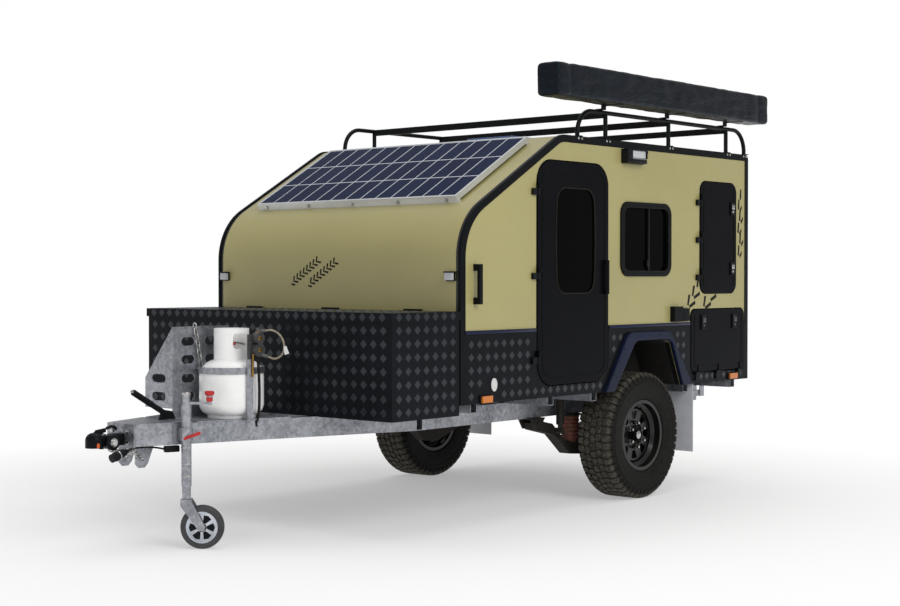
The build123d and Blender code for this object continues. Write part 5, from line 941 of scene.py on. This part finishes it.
# columns: reach out of the skin, span along it, heights, bevel
for reach, span, heights, bevel in (
        ((0, 0.051), (start - 0.004, end + 0.004), (top - 0.003, top + 0.006), 0.003),
        ((0, 0.024), (start - 0.004, end + 0.004), (bottom - 0.010, bottom - 0.002), 0.002),
        ((0.030, 0.049), (start - 0.004, start + 0.046), (top - 0.052, top + 0.002), 0.003),
        ((0.040, 0.049), (end - 0.012, end + 0.004), (top - 0.046, top + 0.002), 0.003),
        ((0.018, 0.046), (start - 0.004, end + 0.002), (bottom - 0.008, bottom + 0.016), 0.003)):
    cheeks.append(sideBlock(1, reach, span, heights, bevel))
dress(joined(cheeks), "floodHousing", "plasticBlack")

ovals = []
for side in (1, -1):
    oval = added(bpy.ops.mesh.primitive_cylinder_add, vertices=40, radius=1, depth=1)
    oval.scale = (0.0345, 0.0235, 0.006)
    oval.rotation_euler = (0, math.radians(90), 0)
    oval.location = at(side * (skinX + 0.007), *reflector)
    settle(oval)
    bevelFaces(oval, lambda centre, normal: abs(normal.x) > 0.9, 0.0018)
    ovals.append(oval)
dress(joined(ovals), "sideReflectors", "plateWhite")

for name, finish, low, high in (("tailAmber", "amberLens", 1.068, 1.146),
                                ("tailWhite", "whiteLens", 0.874, 0.930)):
    panes = [block((x - 0.046, tailRear - 0.006, up(low)), (x + 0.046, tailRear + 0.0015, up(high)), 0.004)
             for x in (lampLook["tailX"], -lampLook["tailX"])]
    dress(joined(panes), name, finish)
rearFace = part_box("rear_panel")[1].y
holder = block((-0.19, rearFace, up(0.716)), (0.19, rearFace + 0.004, up(0.860)), 0.0015)
plateLamp = block((-0.035, rearFace, up(0.866)), (0.035, rearFace + 0.030, up(0.892)), 0.004)
dress(joined([holder, plateLamp]), "numberPlateHolder", "plasticBlack")
blank = block((-0.186, rearFace + 0.0038, up(0.721)), (0.186, rearFace + 0.0060, up(0.855)), 0.0008)
dress(blank, "numberPlateBlank", "plateWhite")
print("lamps made")

# Solar panel: five bolts along the lower lip
frameLow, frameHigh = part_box("solar_frame")
lip = Vector((0, frameLow.y + 0.0075, frameLow.z + 0.013))
downSlope = Vector((0, -math.cos(slope), -math.sin(slope)))
bolts = []
for x in (-0.68, -0.34, 0.0, 0.34, 0.68):
    start = lip + Vector((x, 0, 0))
    bolts.append(rod(start - downSlope * 0.002, start + downSlope * 0.004, 0.0075, 6, 0.001))
    bolts.append(rod(start - downSlope * 0.002, start + downSlope * 0.0012, 0.011, 20))
dress(joined(bolts), "solarBolts", "brightSteel")

# Awning bag: a stuffed vinyl cover, puckered at its end panels, with piping along its seams
bagLook = {"length": 2.202, "panel": 0.118, "corner": 0.022, "pucker": 0.90, "stations": 46, "lump": 0.003,
           "folds": 0.007, "hoop": (0.0600, 0.0765), "square": 1.32}
bagLow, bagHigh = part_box("awning_bag")


def makeBag():
    rand = random.Random(7)
    centre = ((bagLow.x + bagHigh.x) / 2, (bagLow.z + bagHigh.z) / 2)
    half = ((bagHigh.x - bagLow.x) / 2 + 0.004, (bagHigh.z - bagLow.z) / 2 + 0.004)
    corner = bagLook["corner"]
    hubs = [(centre[0] + sideX * (half[0] - corner), centre[1] + sideZ * (half[1] - corner))
            for sideX, sideZ in ((1, 1), (-1, 1), (-1, -1), (1, -1))]
    loop = []
    for quarter, hub in enumerate(hubs):
        for step in range(5):
            angle = math.radians(90 * quarter + 22.5 * step)
            loop.append((hub[0] + corner * math.cos(angle), hub[1] + corner * math.sin(angle)))
        last, following = loop[-1], hubs[(quarter + 1) % 4]
        target = (following[0] + corner * math.cos(angle), following[1] + corner * math.sin(angle))
        for share in (0.25, 0.5, 0.75):
            loop.append(tuple(a + share * (b - a) for a, b in zip(last, target)))
    start = bagLow.y + 0.004
    piece = drawn([(x, start, z) for x, z in loop])
    startEdit(piece)
    bpy.ops.mesh.edge_face_add()
    length = bagLook["length"] - 0.008
    marks = [0.004, 0.016, 0.06, bagLook["panel"] - 0.012, bagLook["panel"], bagLook["panel"] + 0.012]
    marks += [bagLook["panel"] + 0.012 + step * (length - 2 * bagLook["panel"] - 0.024) / bagLook["stations"]
              for step in range(1, bagLook["stations"] + 1)]
    marks += [length - mark for mark in reversed(marks[:5])] + [length]
    sizes = [0.955, 0.99, 1.0, 0.992, bagLook["pucker"] + 0.035, 0.992]
    sizes += [1 - rand.random() * bagLook["lump"] * 2 for step in range(bagLook["stations"])]
    sizes += [bagLook["pucker"] + 0.035, 0.992, 1.0, 0.99, 0.955, 0.90]
    before, size = 0.0, 0.90
    bpy.ops.transform.resize(value=(size, 1, size), center_override=(centre[0], start, centre[1]))
    for mark, target in zip(marks, sizes):
        bpy.ops.mesh.extrude_region_move(TRANSFORM_OT_translate={"value": (0, mark - before, 0)})
        share = target / size
        bpy.ops.transform.resize(value=(share, 1, share), center_override=(centre[0], start + mark, centre[1]))
        before, size = mark, target
    endEdit()
    clouds = bpy.data.textures.new("bagFolds", "CLOUDS")
    clouds.noise_scale = 0.09
    bpy.ops.object.modifier_add(type="SUBSURF")
    piece.modifiers[-1].levels = piece.modifiers[-1].render_levels = 1
    bpy.ops.object.modifier_apply(modifier=piece.modifiers[-1].name)
    bpy.ops.object.modifier_add(type="DISPLACE")
    folds = piece.modifiers[-1]
    folds.texture = clouds
    folds.texture_coords = "LOCAL"
    folds.strength = bagLook["folds"]
    folds.mid_level = 0.55
    bpy.ops.object.modifier_apply(modifier=folds.name)
    return piece


bag = dress(makeBag(), "awningBagCover", "bagVinyl", "chassis", ["awning_bag"], 60)
seams = []
for x, z in ((bagHigh.x - 0.010, bagHigh.z - 0.011), (bagHigh.x - 0.011, bagLow.z + 0.011)):
    line = [(x, bagLow.y + 0.02 + step * 0.072, z + 0.0015 * math.sin(step * 1.7)) for step in range(31)]
    seams.append(tube(line, 0.0026))


# The hoop's round is pulled out toward the bag's square section
def squared(value):
    return value / max(abs(value), 1 / bagLook["square"])


bagMiddle = (bagLow + bagHigh) / 2
for y in (bagLow.y + bagLook["panel"] + 0.004, bagHigh.y - bagLook["panel"] - 0.004):
    hoop = [(bagMiddle.x + bagLook["hoop"][0] * squared(math.cos(math.radians(angle))), y,
             bagMiddle.z + bagLook["hoop"][1] * squared(math.sin(math.radians(angle))))
            for angle in range(0, 360, 15)]
    seams.append(tube(hoop, 0.0024, True))
dress(joined(seams), "awningBagPiping", "bagVinyl")
print("awning bag made")

# Roof rack: screws at each foot
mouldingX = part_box("edge_mouldings")[1].x - 0.0005
screws = []
for distance in (1.010, 1.277, 1.922, 2.575, 2.770):
    for side in (1, -1):
        for shift in (-0.015, 0.015):
            screws.append(spun(((0.0, 0.0045), (0.0040, 0.0042), (0.0070, 0.0022), (0.0078, -0.001)),
                               at(side * mouldingX, distance + shift, 2.047), (side, 0, 0), 16))
dress(joined(screws), "rackScrews", "brightSteel")

# Wheel flares: screws along the band, four steps to each of its three legs
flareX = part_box("wheel_flares")[1].x
flarePath = ((1.252, 0.665), (1.462, 0.945), (1.885, 0.945), (2.108, 0.665))
screws = []
for side in (1, -1):
    for step in range(13):
        leg = min(step // 4, 2)
        part = step / 4 - leg
        place = [a + part * (b - a) for a, b in zip(flarePath[leg], flarePath[leg + 1])]
        screws.append(spun(((0.0, 0.002), (0.0035, 0.0018), (0.0055, 0.0)), at(side * flareX, *place),
                           (side, 0, 0), 14))
dress(joined(screws), "flareScrews", "powderBlack")
print("rack and flares dressed")

# Coupling: dark cast body, cross bolt with washers, indicator tab and grease points
couplingLook = {"pivot": (0.074, 0.014), "reach": 0.055, "boss": 0.0205}
y, z = couplingLook["pivot"]
bright, dark = [], []
for side in (1, -1):
    x = side * couplingLook["reach"]
    dark.append(spun(((0.0375, -0.018), (0.0380, -0.010), (0.0355, -0.006), (0.0300, -0.0045), (0.0, -0.0045)),
                     (x, y, z), (side, 0, 0), 40))
    bright.append(spun(((couplingLook["boss"], -0.006), (couplingLook["boss"], -0.001), (0.0185, 0.0005),
                        (0.0150, -0.0005), (0.0145, 0.004), (0.0125, 0.0065), (0.0, 0.007)),
                       (x, y, z), (side, 0, 0), 32))
for step, x in enumerate((-0.028, -0.010, 0.010, 0.028)):
    bright.append(spun(((0.0, 0.004), (0.0035, 0.0035), (0.0050, 0.0)), (x, 0.030 + 0.006 * step, 0.0500),
                       (0, 0, 1), 16))
for x in (0.060, -0.060):
    for z in (0.060, 0.008):
        bright.append(rod((x, 0.148, z), (x, 0.142, z), 0.011, 6, 0.0015))
dress(joined(bright), "couplingBolts", "brightSteel")
dress(joined(dark), "couplingBosses", "plasticBlack")
tab = [(0.0405, -0.016, -0.006), (0.0405, -0.002, -0.006), (0.0405, -0.002, 0.012), (0.0405, -0.009, 0.018),
       (0.0405, -0.016, 0.012)]
dress(plate(tab, (0.0035, 0, 0), 0.0008), "couplingTab", "signalOrange")
lever = tube([(0.0, 0.070, 0.078), (0.0, 0.095, 0.086), (0.0, 0.116, 0.082), (0.0, 0.126, 0.070)],
             0.0075, False, 3)
dress(lever, "couplingHandle", "plasticBlack")

# Trailer plug parked beside the coupling, and its cable back under the rail
plugStart, plugEnd = Vector((0.083, 0.128, -0.027)), Vector((0.083, 0.034, -0.056))
alongPlug = (plugEnd - plugStart).normalized()
plug = spun(((0.0, 0.0), (0.0105, 0.001), (0.0125, 0.012), (0.0175, 0.020), (0.0195, 0.030), (0.0195, 0.058),
             (0.0225, 0.060), (0.0230, 0.076), (0.0205, 0.078), (0.0200, 0.098), (0.0, 0.099)),
            plugStart, alongPlug, 28)
dress(plug, "trailerPlug", "plasticBlack")
collar = spun(((0.0198, 0.050), (0.0212, 0.051), (0.0212, 0.056), (0.0198, 0.057)), plugStart, alongPlug, 28)
dress(collar, "trailerPlugRing", "brightSteel")
cableRun = ((0.0840, 0.170, -0.0170), (0.0905, 0.200, -0.0160), (0.1010, 0.235, -0.0165),
            (0.1170, 0.275, -0.0215), (0.1390, 0.305, -0.0290))
cord("trailerPlugCable", 0.0045,
     [plugStart, plugStart - alongPlug * 0.020, *(Vector(point) for point in cableRun)])
box = block((-0.016, -0.036, -0.015), (0.016, 0.036, 0.015), 0.004)
moved(box, Matrix.Translation((0.150, 0.335, -0.029)) @ Matrix.Rotation(math.radians(-18.2), 4, "Z"))
dress(box, "railConnector", "plasticBlack")

# Safety chains: links from the foot plates' holes up to the head plate, with a shackle
chainLook = {"link": (0.0105, 0.0205), "wire": 0.0034}


def chainLink(middle, along, turn):
    across, reach = chainLook["link"]
    loop = [(across * math.cos(math.radians(angle)), 0,
             (reach - across) * (1 if angle < 180 else -1) + across * math.sin(math.radians(angle)))
            for angle in (0, 30, 60, 90, 120, 150, 180, 210, 240, 270, 300, 330, 359)]
    link = tube(loop, chainLook["wire"], True)
    lie = Vector(along).to_track_quat("Z", "Y").to_matrix().to_4x4()
    return moved(link, Matrix.Translation(middle) @ lie @ Matrix.Rotation(math.radians(turn), 4, "Z"))


links = []
for side in (1, -1):
    points = [Vector((side * x, y, z)) for x, y, z in
              ((0.068, 0.226, -0.075), (0.074, 0.205, -0.060), (0.076, 0.184, -0.046), (0.074, 0.160, -0.036),
               (0.068, 0.136, -0.028))]
    for index, (before, after) in enumerate(zip(points, points[1:])):
        links.append(chainLink((before + after) / 2, after - before, 90 * (index % 2)))
top, bottom = at(-0.030, -0.929, 1.051), at(-0.030, -0.890, 0.842)
for step in range(8):
    share = (step + 0.5) / 8
    sway = Vector((0.003 * math.sin(3 * share), 0, 0))
    links.append(chainLink(top.lerp(bottom, share) + sway, bottom - top, 90 * (step % 2)))
links.append(rod(at(-0.036, -0.887, 0.833), at(-0.022, -0.903, 0.831), 0.0065, 6, 0.001))
links.append(chainLink(at(-0.026, -0.898, 0.832), (0.4, -0.9, 0), 0))
dress(joined(links), "chains", "brightSteel", smooth=60)
print("coupling dressed")

# Handbrake: ribbed grip over the lever's end, and a release button
gripStart, gripEnd = at(0, -1.222, 0.6725), at(0, -1.334, 0.738)
alongGrip = (gripEnd - gripStart).normalized()
reach = (gripEnd - gripStart).length
section = [(0.0, -0.002), (0.0125, -0.002)]
for step in range(9):
    start = 0.006 + step * (reach - 0.022) / 9
    section += [(0.0148, start), (0.0150, start + 0.006), (0.0136, start + 0.0075), (0.0136, start + 0.0105)]
section += [(0.0150, reach - 0.012), (0.0150, reach - 0.004), (0.0120, reach), (0.0, reach + 0.001)]
dress(spun(section, gripStart, alongGrip, 24), "handbrakeGrip", "softRubber")
button = spun(((0.0088, 0.0), (0.0088, 0.010), (0.0060, 0.0125), (0.0, 0.013)), gripEnd, alongGrip, 20)
dress(button, "handbrakeButton", "brightSteel")

# Jockey wheel: red knob and clamp handle, ring marks on the tube, tyre and spokes
jockey = at(0.222, -1.195, 0)
rollTurn = math.radians(40.7)
rolling = Vector((math.cos(rollTurn), math.sin(rollTurn), 0))
axle = Vector((-rolling.y, rolling.x, 0))
rise = Vector((0, 0, 1))
knob = spun(((0.0, 0.006), (0.0105, 0.007), (0.0155, 0.012), (0.0162, 0.026), (0.0120, 0.032), (0.0165, 0.037),
             (0.0225, 0.042), (0.0230, 0.053), (0.0190, 0.058), (0.0, 0.0595)),
            jockey + rolling * 0.110 + rise * 0.690, (0, 0, 1), 28)
dress(knob, "crankKnob", "signalRed", "jockey_mast")
low = jockey - axle * 0.043 - rolling * 0.004 + rise * 0.525
high = jockey - axle * 0.043 + rolling * 0.074 + rise * 0.5535
reach = (high - low).length
grip = spun(((0.0, -0.002), (0.0068, -0.001), (0.0078, 0.006), (0.0078, reach - 0.006), (0.0062, reach),
             (0.0, reach + 0.001)), low, high - low, 20)
dress(grip, "clampHandle", "signalRed", "jockey_mast")
stem = [rod(jockey - axle * 0.028 + rise * 0.531, jockey - axle * 0.048 + rise * 0.529, 0.0062, 12)]
for height in (0.480, 0.403, 0.345):
    stem.append(spun(((0.0240, -0.003), (0.0252, -0.002), (0.0252, 0.002), (0.0240, 0.003)),
                     jockey + rise * height, (0, 0, 1), 32))
stem.append(spun(((0.0182, 0.0), (0.0200, 0.003), (0.0200, 0.010), (0.0150, 0.016), (0.0, 0.017)),
                 jockey + rise * 0.727, (0, 0, 1), 28))
dress(joined(stem), "jockeyBrightParts", "brightSteel", "jockey_mast")
roller = sum(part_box("jockey_wheel"), Vector()) / 2
pocket = ((0.024, -16), (0.058, -21), (0.062, 0), (0.058, 21), (0.024, 16))
hubs, pockets = [], []
for direction in (axle, -axle):
    hubs.append(spun(((0.0, 0.0275), (0.008, 0.0270), (0.0125, 0.0245), (0.0155, 0.0215), (0.062, 0.0215),
                      (0.070, 0.0255), (0.075, 0.0250), (0.077, 0.0200)), roller, direction, 48))
    for step in range(6):
        gap = []
        for reach, angle in pocket:
            turn = math.radians(60 * step + angle)
            spoke = rolling * math.cos(turn) + rise * math.sin(turn)
            gap.append(roller + direction * 0.0213 + spoke * reach)
        pockets.append(plate(gap, direction * 0.0006, 0.0002))
dress(joined(hubs), "jockeyHubs", "hubGrey", "jockey_roller")
dress(joined(pockets), "jockeyPockets", "plasticBlack", "jockey_roller")
print("jockey wheel dressed")

# Gas: valve with its hand wheel in the collar, weld line round the bottle, brass fittings
gasLook = {"bottle": (0.130, -0.830), "postAft": -0.824, "postTurn": -10.2, "postReach": 0.1686, "stand": 0.021}
gas = at(gasLook["bottle"][0], gasLook["bottle"][1], 0)
neck = spun(((0.0, 0.872), (0.016, 0.873), (0.016, 0.884), (0.0125, 0.886), (0.0125, 0.935), (0.0085, 0.938),
             (0.0085, 0.948), (0.0, 0.949)), gas, (0, 0, 1), 20)
outlet = spun(((0.0, 0.0), (0.009, 0.001), (0.009, 0.030), (0.0135, 0.031), (0.0135, 0.044), (0.0100, 0.046),
               (0.0, 0.047)), gas + rise * 0.915, (-0.35, -0.93, 0), 18)
dress(joined([neck, outlet]), "bottleValve", "brassMetal")
handWheel = spun(((0.0, 0.0), (0.012, 0.001), (0.021, 0.004), (0.0225, 0.010), (0.019, 0.016), (0.0, 0.018)),
                 gas + rise * 0.948, (0, 0, 1), 12)
dress(handWheel, "bottleHandWheel", "signalRed")
weld = spun(((0.1586, -0.0022), (0.1600, -0.0012), (0.1600, 0.0012), (0.1586, 0.0022)), gas + rise * 0.734,
            (0, 0, 1), 72)
dress(weld, "bottleWeldLine", "bottleWhite")
postAft = gasLook["postAft"]
fittings = [rod(at(0.317, postAft, 1.004), at(0.317, postAft, 1.020), 0.0135, 6, 0.0015)]
for height in (0.931, 0.989):
    fittings.append(spun(((0.0, 0.004), (0.010, 0.003), (0.012, 0.0)), at(0.334, postAft, height),
                         (1, 0, 0), 20))
dress(joined(fittings), "regulatorFittings", "brassMetal")
pigtail = ((-0.016, -0.043, 0.915), (-0.034, -0.058, 0.926), (-0.058, -0.050, 0.944), (-0.0725, -0.020, 0.958),
           (-0.0725, 0.018, 0.964), (-0.050, 0.054, 0.962), (-0.016, 0.070, 0.957), (0.016, 0.071, 0.952))
cord("bottlePigtail", 0.0035, [gas + Vector(point) for point in pigtail], "plasticGrey")

# Hose from the upper regulator round to the lower one, a line down to the rail, and a blank tag on the loop
postX = gasLook["bottle"][0] + math.cos(math.radians(gasLook["postTurn"])) * gasLook["postReach"]
hoseX = postX + gasLook["stand"]
# columns: along the rolling direction, drop below the start
hoseLoop = ((0.036, 0.014), (0.066, 0.012), (0.098, 0.028), (0.120, 0.059), (0.127, 0.100), (0.112, 0.136),
            (0.080, 0.151), (0.048, 0.141))
loopStart = at(hoseX, postAft, 1.040)
cord("gasHoseLoop", 0.005,
     [loopStart + rolling * along - rise * drop for along, drop in hoseLoop], "braidedHose", ["gas_hose"])
gasRun = ((hoseX, -0.824, 0.906), (hoseX, -0.824, 0.880), (hoseX + 0.004, -0.822, 0.800),
          (hoseX + 0.004, -0.820, 0.720), (hoseX, -0.818, 0.650), (hoseX - 0.010, -0.816, 0.606),
          (hoseX - 0.026, -0.814, 0.572), (0.292, -0.812, 0.556))
cord("gasLine", 0.007, [at(*point) for point in gasRun])
dropPipe = rod(at(hoseX - 0.006, -0.852, 0.912), at(hoseX - 0.006, -0.852, 0.800), 0.0048, 16, 0.001)
dress(dropPipe, "gasDropPipe", "brassMetal")
tagPlace = loopStart + rolling * 0.128 - rise * 0.104 - axle * 0.0052
tag = [tagPlace + rolling * across + rise * height
       for across, height in ((-0.004, 0.012), (0.010, 0.016), (0.024, -0.022), (0.002, -0.028))]
dress(plate(tag, -axle * 0.0007), "hoseTag", "plateWhite")
print("gas bottle dressed")

# Camera, as the picture was taken
view = {"place": (6.0684, -4.5112, 0.793), "turn": 40.733, "down": 0.984, "lens": 63.55}
cameraData = bpy.data.cameras.new("camera")
camera = bpy.data.objects.new("camera", cameraData)
bpy.context.scene.collection.objects.link(camera)
camera.location = view["place"]
camera.rotation_euler = (math.radians(90 - view["down"]), 0, math.radians(view["turn"]))
cameraData.lens = view["lens"]
cameraData.sensor_width = 36
cameraData.clip_end = 200
bpy.context.scene.camera = camera

# Light: a plain bright surrounding and three large soft lamps
light = {"around": 0.5, "key": 330, "fill": 26, "top": 190}


def makeWorld():
    world = bpy.data.worlds.new("studio")
    bpy.context.scene.world = world
    world.use_nodes = True
    tree = world.node_tree
    tree.nodes.clear()
    output = addNode(tree, "OutputWorld")
    plain = addNode(tree, "Background", {"Color": (1, 1, 1, 1), "Strength": light["around"]})
    white = addNode(tree, "Background", {"Color": (1, 1, 1, 1), "Strength": 1.0})
    rays = addNode(tree, "LightPath")
    seen = calc(tree, "MAXIMUM", rays.outputs["Is Camera Ray"], rays.outputs["Is Transmission Ray"])
    blend = addNode(tree, "MixShader")
    tree.links.new(seen, blend.inputs[0])
    tree.links.new(plain.outputs[0], blend.inputs[1])
    tree.links.new(white.outputs[0], blend.inputs[2])
    tree.links.new(blend.outputs[0], output.inputs["Surface"])


def addLamp(name, place, target, size, power):
    lamp = bpy.data.lights.new(name, "AREA")
    lamp.shape = "RECTANGLE"
    lamp.size, lamp.size_y = size
    lamp.energy = power
    lampObject = bpy.data.objects.new(name, lamp)
    lampObject.location = place
    lampObject.rotation_euler = (Vector(target) - Vector(place)).to_track_quat("-Z", "Y").to_euler()
    bpy.context.scene.collection.objects.link(lampObject)


makeWorld()
middle = at(0, 1.0, 1.0)
addLamp("keyLamp", at(8, -1.5, 5.5), middle, (5, 4), light["key"])
addLamp("fillLamp", at(1.5, -8, 3.5), middle, (6, 4), light["fill"])
addLamp("topLamp", at(0, 1.0, 8), middle, (7, 7), light["top"])

# Floor: a wide pale disc that fades into the white around it
floorLook = {"radius": 40, "colour": (0.93, 0.93, 0.93, 1), "fade": (1.6, 4.2)}
floor = added(bpy.ops.mesh.primitive_circle_add, vertices=96, radius=floorLook["radius"], fill_type="NGON",
              location=at(0, 0.6, 0))
floor.name = "studioFloor"
bpy.ops.object.transform_apply(location=True)
floorMaterial, floorTree, floorShader, floorPlace = newMaterial("studioFloor")
setShader(floorTree, floorShader,
          {"Base Color": floorLook["colour"], "Roughness": 0.9, "Specular IOR Level": 0.1})
glow = addNode(floorTree, "Emission", {"Color": (1, 1, 1, 1), "Strength": 1.0})
far = addNode(floorTree, "VectorMath", operation="DISTANCE")
floorTree.links.new(floorPlace, far.inputs[0])
far.inputs[1].default_value = at(0, 0.6, 0)
fade = spread(floorTree, far.outputs["Value"], 0.35, 1.0, *floorLook["fade"])
floorMix = addNode(floorTree, "MixShader")
floorTree.links.new(fade, floorMix.inputs[0])
floorTree.links.new(floorShader.outputs[0], floorMix.inputs[1])
floorTree.links.new(glow.outputs[0], floorMix.inputs[2])
floorOutput = next(node for node in floorTree.nodes if node.type == "OUTPUT_MATERIAL")
floorTree.links.new(floorMix.outputs[0], floorOutput.inputs["Surface"])
floor.data.materials.append(floorMaterial)
print("camera, lamps and floor made")

bpy.context.scene.view_settings.view_transform = "Standard"
